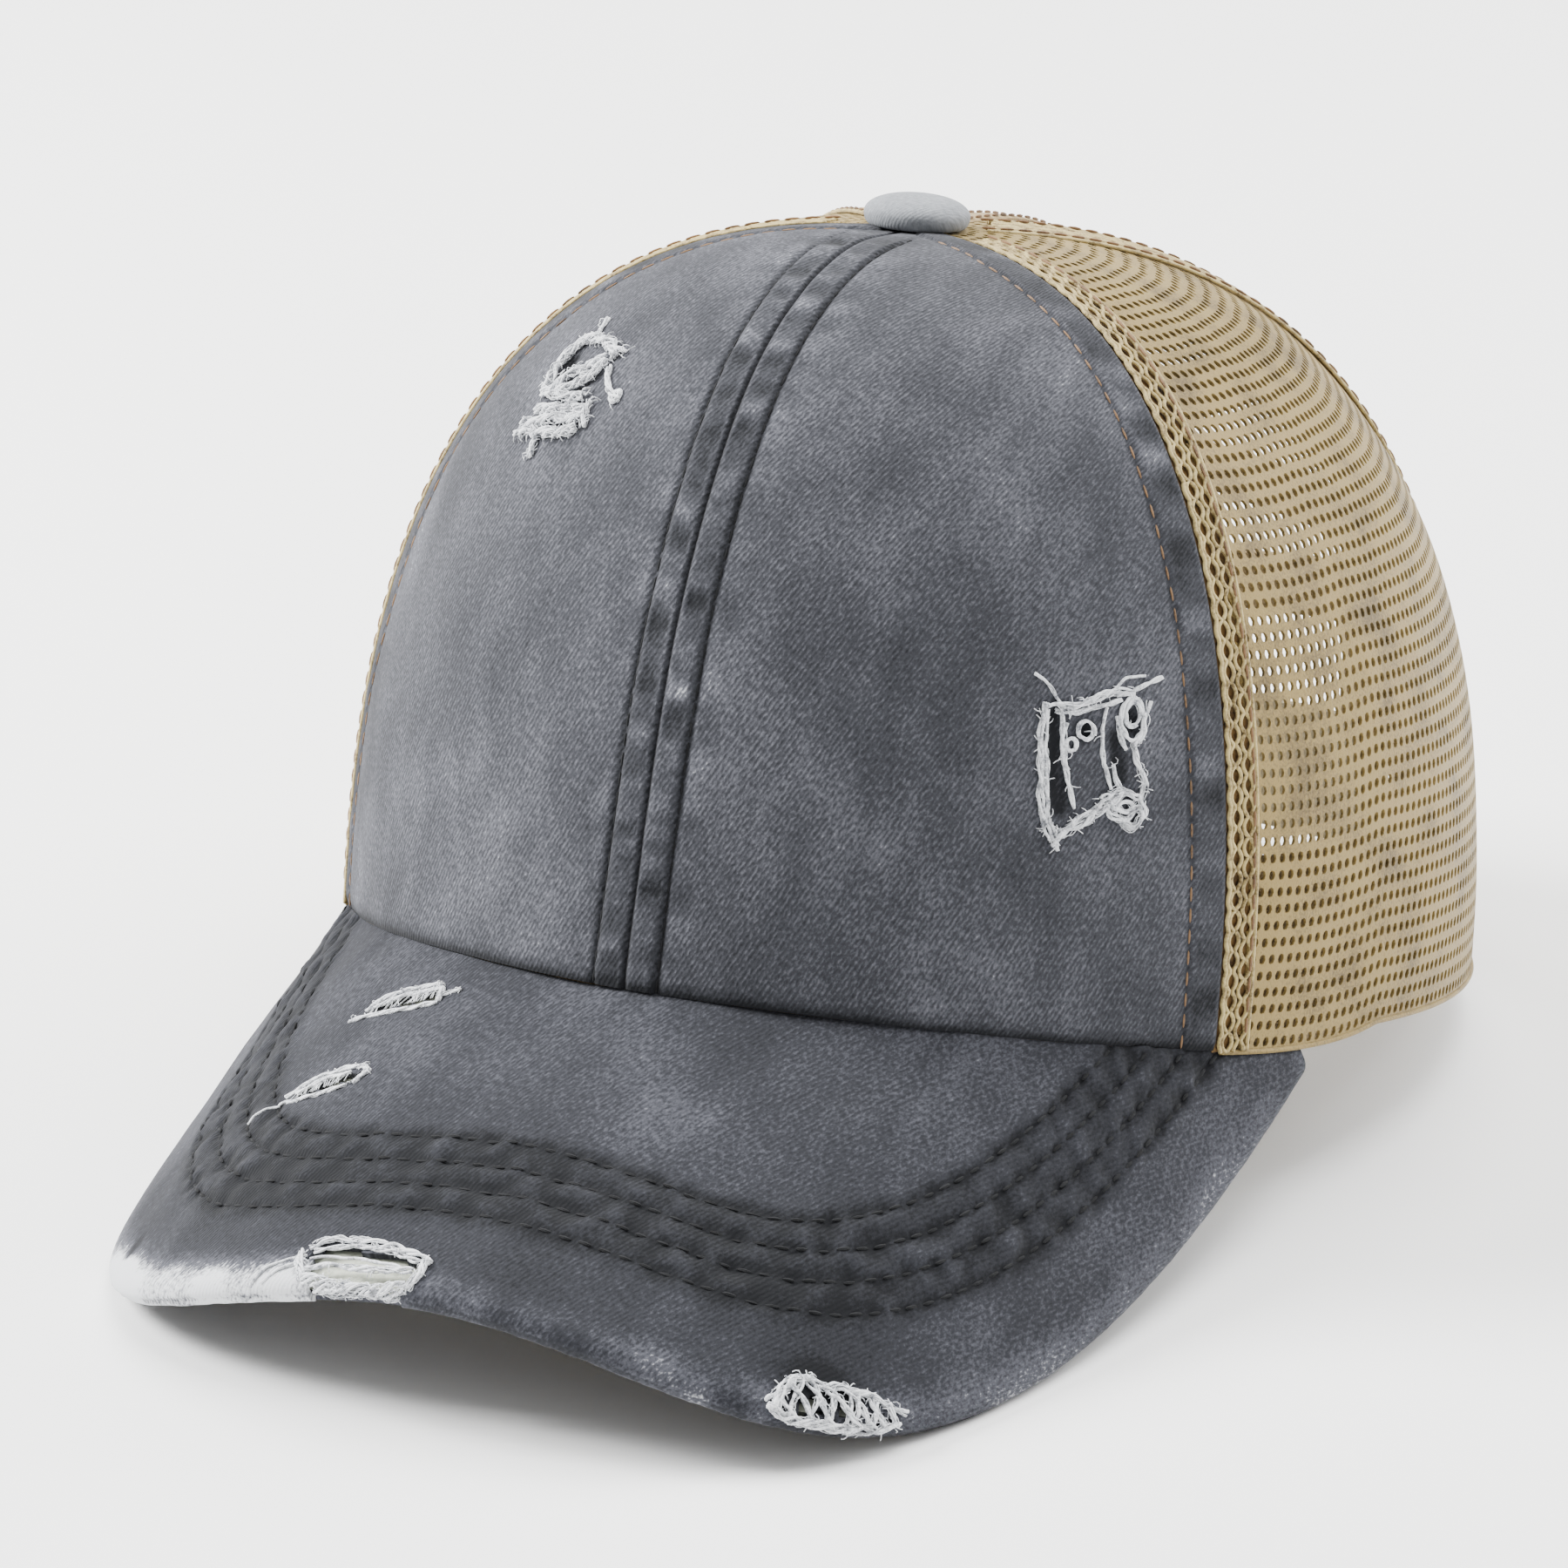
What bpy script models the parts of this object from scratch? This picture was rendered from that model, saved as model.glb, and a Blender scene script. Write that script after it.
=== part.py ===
"""Ponytail baseball cap: two twill front gores, four net gores, a curved visor and an open back.

The pieces are modelled in the cap's own frame, in metres: front -Y, wearer's left +X, and Z up
from the front of the rim. An empty then sets them down as the cap rests on a table, on the
visor's two low sides and on the back of the rim.
"""
import math
from collections import namedtuple

import bmesh
import bpy
import numpy as np
from mathutils import Matrix, Vector

# Crown, measured to the cloth's outer face
CROWN_FRONT = 0.1031
CROWN_BACK = 0.0987
CROWN_SIDE = 0.0843
CROWN_HEIGHT = 0.1027
CROWN_TOP_Y = -0.0191
PLAN_POWER = 1.93
RISE_POWER = 2.55
PROFILE_POWER = {"front": 3.21, "side": 2.34, "back": 3.12}
WALL_LEAN = {"front": 0.12, "side": -0.046, "back": 0.143}
GORE_FLATNESS = 0.031
REAR_DIP = 0.0025

# Angles from the front of the cap, in degrees
FRONT_SEAM = 59.2
BACK_SEAM = 130.8
LEVEL_RIM_FROM = 80.0

# Cloth, board and the gap that is kept between any two pieces
TWILL_WALL = 0.0014
NET_WALL = 0.0010
VISOR_CLOTH = 0.0010
VISOR_BOARD = 0.0016
TAPE = 0.0008
ELASTIC = 0.0012
SWEATBAND_WALL = 0.0012
GAP = 0.0003
TAPE_GAP = 0.0005
RIM_GAP = 0.0005

# Visor, cut flat and then bent to an arch that slopes down to the front
VISOR_LENGTH = 0.0574
VISOR_HALF_WIDTH = 0.0989
VISOR_ARCH_SPARE = 0.0056
VISOR_ARCH_RADIUS = CROWN_SIDE + VISOR_ARCH_SPARE
VISOR_SLOPE = 29.5
VISOR_ROOT_Y = -0.0190
VISOR_SIDE_POWER = 3.07
VISOR_FRONT_POWER = 2.36
VISOR_LEAST_WIDTH = 0.0022
VISOR_END_BEFORE_ROOT = 0.0060
VISOR_ROLL_END = 110.0

# Button and its rivet
BUTTON_RADIUS = 0.0080
BUTTON_HEIGHT = 0.0052
RIVET_RADIUS = 0.0030
RIVET_FOOT_RADIUS = 0.0062
RIVET_FOOT_HEIGHT = 0.0008
RIVET_HOLE_RADIUS = 0.0038

# Sweatband
SWEATBAND_HEIGHT = 0.0290
SWEATBAND_FRONT_DROP = 0.0030

# Ponytail opening, seen from the back
OPENING_RIM_HALF_WIDTH = 0.0350
OPENING_HALF_WIDTH = 0.0420
OPENING_WIDEST_Z = 0.0520
OPENING_TOP_Z = 0.0880
OPENING_ARCH_POWER = 2.4
BINDING_LEAF = 0.0080

# Elastic bands across the opening, and the strap that closes the rim below them
BAND_WIDTH = 0.0115
BAND_TUCK = 0.0060
BAND_BOW = 0.0040
CROSSING_Z = 0.0700
CROSSING_SLOPE = 0.35
STRAIGHT_BAND_Z = 0.0420
STRAP_WIDTH = 0.0230
STRAP_LOW_Z = -0.0020
STRAP_OVERLAP = 0.0360
STRAP_BOW = 0.0020

# Worn holes in the visor's top cloth: places and sizes as shares of the visor. "across" runs
# along the outline from -1 to 1, "out" from the crown to the edge, sizes are of VISOR_LENGTH.
Rip = namedtuple("Rip", "name across out length width turn")
VISOR_RIPS = (
    Rip("slit_by_crown", -0.300, 0.30, 0.33, 0.075, 0.0),
    Rip("slit_by_side", -0.330, 0.55, 0.36, 0.075, 6.0),
    Rip("edge_rip_front", -0.078, 1.00, 0.36, 0.27, 0.0),
    Rip("edge_rip_corner", 0.420, 1.00, 0.42, 0.25, 39.0),
)

# Facets
GORE_ROWS = 22
FRONT_COLUMNS = 9
SIDE_COLUMNS = 9
BACK_COLUMNS = 8
VISOR_COLUMNS = 36
VISOR_ROWS = 5
BOARD_ROWS = 3
ROLL_STEPS = 4
SWEATBAND_COLUMNS = 46
SWEATBAND_ROWS = 3
BINDING_STATIONS = 44
BAND_STATIONS = 13
BUTTON_SIDES = 24
RIP_SIDES = 12
FINE_STEPS = 160

VISOR_THICKNESS = 2 * VISOR_CLOTH + VISOR_BOARD + 2 * GAP
VISOR_ROLL_RADIUS = VISOR_THICKNESS / 2
SLOPE = math.tan(math.radians(VISOR_SLOPE))
INNER_DEPTH = NET_WALL + TAPE_GAP + TAPE + TAPE_GAP

# Colours as linear RGB, with roughness
FINISHES = {
    "grey_twill": ((0.135, 0.138, 0.152), 0.85),
    "khaki_net": ((0.480, 0.375, 0.240), 0.75),
    "visor_board": ((0.560, 0.580, 0.480), 0.70),
    "tan_sweatband": ((0.500, 0.380, 0.230), 0.80),
    "khaki_tape": ((0.440, 0.340, 0.210), 0.80),
    "khaki_elastic": ((0.460, 0.360, 0.230), 0.75),
    "loop_strap": ((0.560, 0.490, 0.370), 0.85),
}


def clear_scene():
    """Remove whatever the file holds."""
    for obj in list(bpy.data.objects):
        bpy.data.objects.remove(obj, do_unlink=True)


def make_collection(name):
    """Add a collection to the scene."""
    collection = bpy.data.collections.new(name)
    bpy.context.scene.collection.children.link(collection)
    return collection


def make_material(name):
    """Make a plain Principled material from the table of finishes."""
    colour, roughness = FINISHES[name]
    material = bpy.data.materials.new(name)
    material.use_nodes = True
    shader = material.node_tree.nodes["Principled BSDF"]
    shader.inputs["Base Color"].default_value = (*colour, 1.0)
    shader.inputs["Roughness"].default_value = roughness
    shader.inputs["Metallic"].default_value = 0.0
    return material


def add_object(name, mesh_data, collection, material=None):
    """Link a mesh as an object, with its material."""
    obj = bpy.data.objects.new(name, mesh_data)
    collection.objects.link(obj)
    if material is not None:
        mesh_data.materials.append(material)
    return obj


def mesh_from_bmesh(name, shape):
    """Turn a bmesh into mesh data with its faces pointing out."""
    bmesh.ops.recalc_face_normals(shape, faces=shape.faces[:])
    data = bpy.data.meshes.new(name)
    shape.to_mesh(data)
    shape.free()
    return data


def grid_mesh(name, rows):
    """Skin a grid of points, given row by row, as an open surface."""
    shape = bmesh.new()
    verts = [[shape.verts.new(point) for point in row] for row in rows]
    for low, high in zip(verts, verts[1:]):
        for k in range(len(low) - 1):
            shape.faces.new((low[k], low[k + 1], high[k + 1], high[k]))
    data = bpy.data.meshes.new(name)
    shape.to_mesh(data)
    shape.free()
    return data


def add_wall(obj, thickness):
    """Give an open surface its wall, inward from its outer face."""
    solid = obj.modifiers.new("wall", "SOLIDIFY")
    solid.thickness = thickness
    solid.offset = -1.0
    return solid


def cut(obj, cutter):
    """Cut one object with another, which stays in the file as a guide."""
    knife = obj.modifiers.new("cut_" + cutter.name, "BOOLEAN")
    knife.operation = "DIFFERENCE"
    knife.solver = "EXACT"
    knife.object = cutter


def as_cutter(obj):
    """Hide a cutter from renders and draw it as wire."""
    obj.hide_render = True
    obj.display_type = "WIRE"
    return obj


def evenly(points, count):
    """Resample a polyline at equal lengths.

    Args:
        points: the polyline, as tuples or vectors.
        count: how many points the result has.

    Returns:
        An array with one point in each row.
    """
    line = np.array([tuple(point) for point in points])
    steps = np.linalg.norm(np.diff(line, axis=0), axis=1)
    along = np.concatenate(([0.0], np.cumsum(steps)))
    wanted = np.linspace(0.0, along[-1], count)
    return np.stack([np.interp(wanted, along, column) for column in line.T], axis=1)


# The crown's surface

def around(phi, values):
    """Blend a front, side and back value round the crown."""
    weight = math.cos(phi) ** 2
    end = values["front"] if math.cos(phi) > 0 else values["back"]
    return values["side"] + (end - values["side"]) * weight


def rim_plan(phi):
    """Plan of the rim at an angle from the front."""
    across, ahead = math.sin(phi), math.cos(phi)
    scale = (abs(across) ** PLAN_POWER + abs(ahead) ** PLAN_POWER) ** (-1 / PLAN_POWER)
    reach = CROWN_FRONT if ahead > 0 else CROWN_BACK
    return CROWN_SIDE * across * scale, -reach * ahead * scale


def visor_height(x, y):
    """Height of the visor's top face over a point in plan."""
    bend = math.asin(max(-1.0, min(1.0, x / VISOR_ARCH_RADIUS)))
    return SLOPE * (y + CROWN_FRONT) - VISOR_ARCH_RADIUS * (1 - math.cos(bend))


def rim_height(phi):
    """Height of the rim: along the visor in front, and nearly level behind."""
    turn = abs(phi)
    level_from = math.radians(LEVEL_RIM_FROM)
    if turn < level_from:
        return visor_height(*rim_plan(turn))
    share = (turn - level_from) / (math.pi - level_from)
    return visor_height(*rim_plan(level_from)) - REAR_DIP * math.sin(math.pi * share)


def flatness(phi):
    """How far the net is drawn flat between its seams, the two back gores being taken as one."""
    turn, front, back = abs(phi), math.radians(FRONT_SEAM), math.radians(BACK_SEAM)
    if turn <= front:
        return 0.0
    low, high = (front, back) if turn < back else (back, 2 * math.pi - back)
    share = (turn - low) / (high - low)
    return GORE_FLATNESS * 4 * share * (1 - share)


def crown_point(phi, t):
    """Outer face of the crown, t running from 0 at the rim to 1 at the top."""
    x, y = rim_plan(phi)
    base = rim_height(phi)
    rise = math.sin(t * math.pi / 2) ** (2 / RISE_POWER)
    reach = max(0.0, math.cos(t * math.pi / 2)) ** (2 / around(phi, PROFILE_POWER))
    reach *= 1 - around(phi, WALL_LEAN) * rise
    reach *= 1 - flatness(phi) * math.sin(math.pi * t)
    return Vector((x * reach, CROWN_TOP_Y * (1 - reach) + y * reach,
                   base + (CROWN_HEIGHT - base) * rise))


def crown_normal(phi, t):
    """Outward normal of the crown."""
    small = 0.002
    low, high = max(0.001, t - small), min(0.98, t + small)
    up = crown_point(phi, high) - crown_point(phi, low)
    along = crown_point(phi + small, t) - crown_point(phi - small, t)
    return along.cross(up).normalized()


def gore_line(phi, count):
    """Points up the crown at one angle, evenly spaced from the rim to the rivet's hole."""
    line = [crown_point(phi, 1 - (1 - k / FINE_STEPS) ** 1.6) for k in range(FINE_STEPS)]
    kept = [p for p in line if math.hypot(p.x, p.y - CROWN_TOP_Y) > RIVET_HOLE_RADIUS]
    last = line[len(kept)]
    inner = math.hypot(last.x, last.y - CROWN_TOP_Y)
    outer = math.hypot(kept[-1].x, kept[-1].y - CROWN_TOP_Y)
    share = (outer - RIVET_HOLE_RADIUS) / (outer - inner)
    kept.append(kept[-1].lerp(last, share))
    return evenly(kept, count)


def gore_rows(phi_from, phi_to, columns):
    """Grid of a gore between two seams, drawn back by half a gap at each seam."""
    grid = []
    for k in range(columns + 1):
        phi = phi_from + (phi_to - phi_from) * k / columns
        line = gore_line(phi, GORE_ROWS + 1)
        if k in (0, columns):
            side = 1 if k == 0 else -1
            for row in line:
                reach = math.hypot(row[0], row[1] - CROWN_TOP_Y)
                turn = Matrix.Rotation(side * (GAP / 2) / reach, 2)
                row[:2] = turn @ Vector((row[0], row[1] - CROWN_TOP_Y)) + Vector((0, CROWN_TOP_Y))
        grid.append(line)
    return [[tuple(grid[k][r]) for k in range(columns + 1)] for r in range(GORE_ROWS + 1)]


def make_gore(name, phi_from, phi_to, columns, wall, collection, material):
    """One gore of the crown, from seam to seam and from the rim to the button."""
    data = grid_mesh(name, gore_rows(phi_from, phi_to, columns))
    obj = add_object(name, data, collection, material)
    add_wall(obj, wall)
    return obj


# The visor's surface, in flat pattern coordinates: u across its arch and y along the cap

def visor_normal(u):
    """Upward normal of the visor's top face."""
    bend = u / VISOR_ARCH_RADIUS
    return Vector((math.sin(bend), -SLOPE * math.cos(bend), math.cos(bend))).normalized()


def visor_point(u, y, depth):
    """A point of the bent visor, some depth below its top face."""
    bend = u / VISOR_ARCH_RADIUS
    x = VISOR_ARCH_RADIUS * math.sin(bend)
    return Vector((x, y, visor_height(x, y))) - depth * visor_normal(u)


def visor_outline(share):
    """Outermost edge of the visor, share running from -1 to 1."""
    turn = share * math.pi / 2
    across = abs(math.sin(turn)) ** (2 / VISOR_SIDE_POWER)
    ahead = max(0.0, math.cos(turn)) ** (2 / VISOR_FRONT_POWER)
    tip = -CROWN_FRONT - VISOR_LENGTH
    y = VISOR_ROOT_Y + (tip - VISOR_ROOT_Y) * ahead
    return math.copysign(VISOR_HALF_WIDTH * across, turn), y


def under_crown(phi, depth, inset):
    """Flat pattern point that lies under the crown's wall at an angle, at a given depth."""
    x, y = rim_plan(phi)
    outward = Vector((x / CROWN_SIDE ** 2, y / CROWN_FRONT ** 2)).normalized()
    x -= inset * outward.x
    y -= inset * outward.y
    u = VISOR_ARCH_RADIUS * math.asin(x / VISOR_ARCH_RADIUS)
    for _ in range(8):
        shift = depth * visor_normal(u)
        u = VISOR_ARCH_RADIUS * math.asin((x + shift.x) / VISOR_ARCH_RADIUS)
    return u, y + (depth * visor_normal(u)).y


def crown_edge(depth, inset, y_end):
    """Inner edge of a visor layer, from one end to the other."""
    widest = math.radians(LEVEL_RIM_FROM)
    line = [under_crown(widest * (2 * k / FINE_STEPS - 1), depth, inset) for k in range(FINE_STEPS + 1)]
    return clip_ends([point for point in line], y_end)


def outer_edge(y_end, inset):
    """Outer edge of a visor layer, drawn in from the outline by an inset."""
    line = [visor_outline(2 * k / FINE_STEPS - 1) for k in range(FINE_STEPS + 1)]
    points = evenly(line, FINE_STEPS + 1)
    along = np.gradient(points, axis=0)
    outward = np.stack([along[:, 1], -along[:, 0]], axis=1)
    outward /= np.linalg.norm(outward, axis=1)[:, None]
    return clip_ends([tuple(point) for point in points - inset * outward], y_end)


def clip_ends(line, y_end):
    """Keep the part of a line in front of y_end, ending on y_end itself."""
    inside = [k for k, point in enumerate(line) if point[1] < y_end]
    first, last = inside[0], inside[-1]
    kept = [tuple(line[k]) for k in range(first, last + 1)]
    for at, neighbour, place in ((first, first - 1, 0), (last, last + 1, len(kept) + 1)):
        a, b = line[at], line[neighbour]
        share = (y_end - a[1]) / (b[1] - a[1])
        kept.insert(place, (a[0] + (b[0] - a[0]) * share, y_end))
    return kept


def layer_end(depth, inset, edge_inset):
    """How far back a layer reaches before it is narrower than the least width."""
    y_end = VISOR_ROOT_Y - VISOR_END_BEFORE_ROOT
    step = VISOR_END_BEFORE_ROOT / 12
    while True:
        inner = crown_edge(depth, inset, y_end)[-1]
        outer = outer_edge(y_end, edge_inset)[-1]
        if outer[0] - inner[0] > VISOR_LEAST_WIDTH:
            return y_end
        y_end -= step


def visor_layer_rows(top_depth, wall, edge_inset, rows, inset=TWILL_WALL):
    """Grid of a visor layer's upper face, from the crown out to its edge."""
    y_end = layer_end(top_depth + wall, inset, edge_inset)
    inner = evenly(crown_edge(top_depth + wall, inset, y_end), VISOR_COLUMNS + 1)
    outer = evenly(outer_edge(y_end, edge_inset), VISOR_COLUMNS + 1)
    grid = []
    for r in range(rows + 1):
        flat = inner + (outer - inner) * r / rows
        grid.append([visor_point(u, y, top_depth) for u, y in flat])
    return grid, outer


def make_visor_layer(name, top_depth, wall, edge_inset, rows, collection, material):
    """A plain layer of the visor: the board or the under cloth."""
    grid, _ = visor_layer_rows(top_depth, wall, edge_inset, rows)
    obj = add_object(name, grid_mesh(name, grid[::-1]), collection, material)
    add_wall(obj, wall)
    return obj


def make_visor_top(name, collection, material):
    """The top cloth, which rolls over the board's edge and ends below it."""
    grid, outer = visor_layer_rows(0.0, VISOR_CLOTH, VISOR_ROLL_RADIUS, VISOR_ROWS)
    along = np.gradient(outer, axis=0)
    outward = np.stack([along[:, 1], -along[:, 0]], axis=1)
    outward /= np.linalg.norm(outward, axis=1)[:, None]
    for k in range(1, ROLL_STEPS + 1):
        turn = math.radians(VISOR_ROLL_END) * k / ROLL_STEPS
        flat = outer + outward * VISOR_ROLL_RADIUS * math.sin(turn)
        depth = VISOR_ROLL_RADIUS * (1 - math.cos(turn))
        grid.append([visor_point(u, y, depth) for u, y in flat])
    obj = add_object(name, grid_mesh(name, grid[::-1]), collection, material)
    add_wall(obj, VISOR_CLOTH)
    return obj


def make_rim_cutter(collection):
    """What the gores are cut with so that they end just above the visor."""
    name = "rim_cutter"
    grid, _ = visor_layer_rows(-RIM_GAP, RIM_GAP, VISOR_ROLL_RADIUS, 1, inset=4 * TWILL_WALL)
    obj = add_object(name, grid_mesh(name, grid[::-1]), collection)
    add_wall(obj, VISOR_THICKNESS)
    return as_cutter(obj)


def make_rip_cutter(rip, collection):
    """A flat oval plug, square to the visor, for one worn hole."""
    y_end = layer_end(VISOR_CLOTH, TWILL_WALL, 0.0)
    count = FINE_STEPS + 1
    place = round((rip.across + 1) / 2 * FINE_STEPS)
    inner = evenly(crown_edge(VISOR_CLOTH, TWILL_WALL, y_end), count)[place]
    outer = evenly(outer_edge(y_end, 0.0), count)[place]
    u, y = inner + (outer - inner) * rip.out
    normal = visor_normal(u)
    across = (visor_point(u + VISOR_CLOTH, y, 0.0) - visor_point(u, y, 0.0)).normalized()
    across = Matrix.Rotation(math.radians(rip.turn), 3, normal) @ across
    frame = Matrix((across, normal.cross(across), normal)).transposed().to_4x4()
    shape = bmesh.new()
    bmesh.ops.create_cone(shape, cap_ends=True, segments=RIP_SIDES, radius1=0.5, radius2=0.5, depth=1.0)
    size = (rip.length * VISOR_LENGTH, rip.width * VISOR_LENGTH * (2 if rip.out == 1 else 1),
            2 * VISOR_THICKNESS)
    bmesh.ops.scale(shape, vec=size, verts=shape.verts[:])
    centre = visor_point(u, y, VISOR_ROLL_RADIUS)
    bmesh.ops.transform(shape, matrix=Matrix.Translation(centre) @ frame, verts=shape.verts[:])
    return as_cutter(add_object(rip.name, mesh_from_bmesh(rip.name, shape), collection))


# The back of the crown

def back_place(x, z):
    """Angle and t of the crown's surface behind, at a given x and z."""
    low, high = math.pi / 2, math.pi
    for _ in range(40):
        phi = (low + high) / 2
        t = t_at_height(phi, z)
        if crown_point(phi, t).x > abs(x):
            low = phi
        else:
            high = phi
    return math.copysign(phi, x), t


def t_at_height(phi, z):
    """Where the crown reaches a height at an angle."""
    base = rim_height(phi)
    rise = max(0.0, (z - base) / (CROWN_HEIGHT - base))
    return 2 / math.pi * math.asin(min(1.0, rise ** (RISE_POWER / 2)))


def back_point(x, z, depth):
    """A point some depth inside the crown's surface, and the outward normal there."""
    phi, t = back_place(x, z)
    normal = crown_normal(phi, t)
    return crown_point(phi, t) - depth * normal, normal


def opening_half_width(z):
    """Half width of the ponytail opening at a height."""
    if z > OPENING_WIDEST_Z:
        rise = min(1.0, (z - OPENING_WIDEST_Z) / (OPENING_TOP_Z - OPENING_WIDEST_Z))
        return OPENING_HALF_WIDTH * (1 - rise ** OPENING_ARCH_POWER) ** (1 / OPENING_ARCH_POWER)
    low = rim_height(math.pi)
    share = (z - low) / (OPENING_WIDEST_Z - low)
    return OPENING_RIM_HALF_WIDTH + (OPENING_HALF_WIDTH - OPENING_RIM_HALF_WIDTH) * share


def opening_outline(low_z):
    """The opening's edge seen from the back: up one side, over the arch and down the other."""
    arch = []
    for k in range(FINE_STEPS + 1):
        turn = math.pi * k / FINE_STEPS
        across = math.copysign(abs(math.cos(turn)) ** (2 / OPENING_ARCH_POWER), math.cos(turn))
        rise = abs(math.sin(turn)) ** (2 / OPENING_ARCH_POWER)
        arch.append((OPENING_HALF_WIDTH * across,
                     OPENING_WIDEST_Z + (OPENING_TOP_Z - OPENING_WIDEST_Z) * rise))
    half = opening_half_width(low_z)
    return [(half, low_z)] + arch + [(-half, low_z)]


def make_opening_cutter(collection):
    """An upright prism through the back of the crown."""
    below = rim_height(math.pi) - CROWN_HEIGHT / 4
    outline = evenly(opening_outline(below), BINDING_STATIONS + 1)
    shape = bmesh.new()
    verts = [shape.verts.new((x, -CROWN_TOP_Y / 2, z)) for x, z in outline]
    face = shape.faces.new(verts)
    pushed = bmesh.ops.extrude_face_region(shape, geom=[face])
    moved = [item for item in pushed["geom"] if isinstance(item, bmesh.types.BMVert)]
    bmesh.ops.translate(shape, vec=(0, CROWN_BACK + CROWN_FRONT / 4, 0), verts=moved)
    return as_cutter(add_object("opening_cutter", mesh_from_bmesh("opening_cutter", shape), collection))


def skin_rings(name, rings, collection, material):
    """Join closed rings of points into one solid, capped at both ends.

    Args:
        name: the object's name.
        rings: lists of points, all of one length and in one order.
        collection: where the object goes.
        material: what it is made of.

    Returns:
        The new object.
    """
    shape = bmesh.new()
    verts = [[shape.verts.new(point) for point in ring] for ring in rings]
    count = len(verts[0])
    for low, high in zip(verts, verts[1:]):
        for k in range(count):
            following = (k + 1) % count
            shape.faces.new((low[k], low[following], high[following], high[k]))
    shape.faces.new(verts[0])
    shape.faces.new(verts[-1])
    return add_object(name, mesh_from_bmesh(name, shape), collection, material)


def ring_on_back(point, side, depth, section):
    """Lay a section on the crown's back, so that it curves with the surface.

    Args:
        point: a point of the crown's outer face.
        side: direction in the surface that the section's first distance follows.
        depth: how far inside the surface the section lies.
        section: pairs of a distance along side and a height above the section's depth.

    Returns:
        The ring of points.
    """
    ring = []
    for along, height in section:
        place = point + side * along
        ring.append(back_point(place.x, place.z, depth - height)[0])
    return ring


def make_binding(collection, material):
    """Tape folded over the opening's edge, one leaf outside the net and one inside."""
    start = rim_height(math.pi) + GAP
    placed = [back_point(x, z, 0.0) for x, z in opening_outline(start)]
    points = evenly([point for point, _ in placed], BINDING_STATIONS + 1)
    reach, middle, fold = BINDING_LEAF, BINDING_LEAF / 2, -TAPE_GAP - TAPE
    top, under = TAPE_GAP, -NET_WALL - TAPE_GAP
    section = [(reach, top), (reach, top + TAPE), (middle, top + TAPE), (fold, top + TAPE),
               (fold, under - TAPE), (middle, under - TAPE), (reach, under - TAPE),
               (reach, under), (middle, under), (fold + TAPE, under), (fold + TAPE, top),
               (middle, top)]
    rings = []
    for k, here in enumerate(points):
        point = Vector(here)
        _, normal = back_point(point.x, point.z, 0.0)
        ahead = Vector(points[min(k + 1, BINDING_STATIONS)]) - Vector(points[max(k - 1, 0)])
        side = normal.cross(ahead).normalized()
        rings.append(ring_on_back(point, side, 0.0, section))
    return skin_rings("opening_binding", rings, collection, material)


def edge_of_line(centre_z, rise, side):
    """Where a line across the opening meets its edge, on one side."""
    x = OPENING_HALF_WIDTH
    for _ in range(60):
        x = (x + opening_half_width(centre_z + rise * side * x)) / 2
    return side * x


def make_band(name, centre_z, rise, spans, width, bow, extra, collection, material):
    """A flat band across the opening, bowed in from the crown's curve.

    Args:
        name: the object's name.
        centre_z: its height at the middle of the cap.
        rise: its slope.
        spans: its two ends in x.
        width: its width.
        bow: how far it is drawn in at the middle.
        extra: depth that it gains where it passes inside another band, as a function of x.
        collection: where the object goes.
        material: what it is made of.

    Returns:
        The new object.
    """
    def depth(x):
        share = min(1.0, abs(x) / OPENING_RIM_HALF_WIDTH)
        return INNER_DEPTH + bow * (1 - share ** 2) + extra(x)

    places = np.linspace(spans[0], spans[1], BAND_STATIONS).tolist()
    line = [back_point(x, centre_z + rise * x, 0.0) for x in places]
    half = width / 2
    section = [(-half, -ELASTIC), (0.0, -ELASTIC), (half, -ELASTIC), (half, 0.0), (0.0, 0.0),
               (-half, 0.0)]
    rings = []
    for k, (point, normal) in enumerate(line):
        ahead = line[min(k + 1, BAND_STATIONS - 1)][0] - line[max(k - 1, 0)][0]
        side = ahead.cross(normal).normalized()
        rings.append(ring_on_back(point, side, depth(places[k]), section))
    return skin_rings(name, rings, collection, material)


def band_spans(centre_z, rise):
    """The two ends of a band, each tucked behind the opening's edge."""
    return [edge_of_line(centre_z, rise, side) + side * BAND_TUCK for side in (-1, 1)]


def make_bands(collection, material):
    """Two elastic bands that cross, one passing inside the other, and a straight one below."""
    overlap = BAND_WIDTH * math.hypot(1, CROSSING_SLOPE) / (2 * CROSSING_SLOPE) + GAP

    def inside(x):
        share = max(0.0, (abs(x) - overlap) / (OPENING_RIM_HALF_WIDTH - overlap))
        return (ELASTIC + GAP) * max(0.0, 1 - share)

    table = (
        ("band_upper_a", CROSSING_Z, CROSSING_SLOPE, lambda x: 0.0),
        ("band_upper_b", CROSSING_Z, -CROSSING_SLOPE, inside),
        ("band_lower", STRAIGHT_BAND_Z, 0.0, lambda x: 0.0),
    )
    return [make_band(name, z, rise, band_spans(z, rise), BAND_WIDTH, BAND_BOW, extra,
                      collection, material) for name, z, rise, extra in table]


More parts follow.
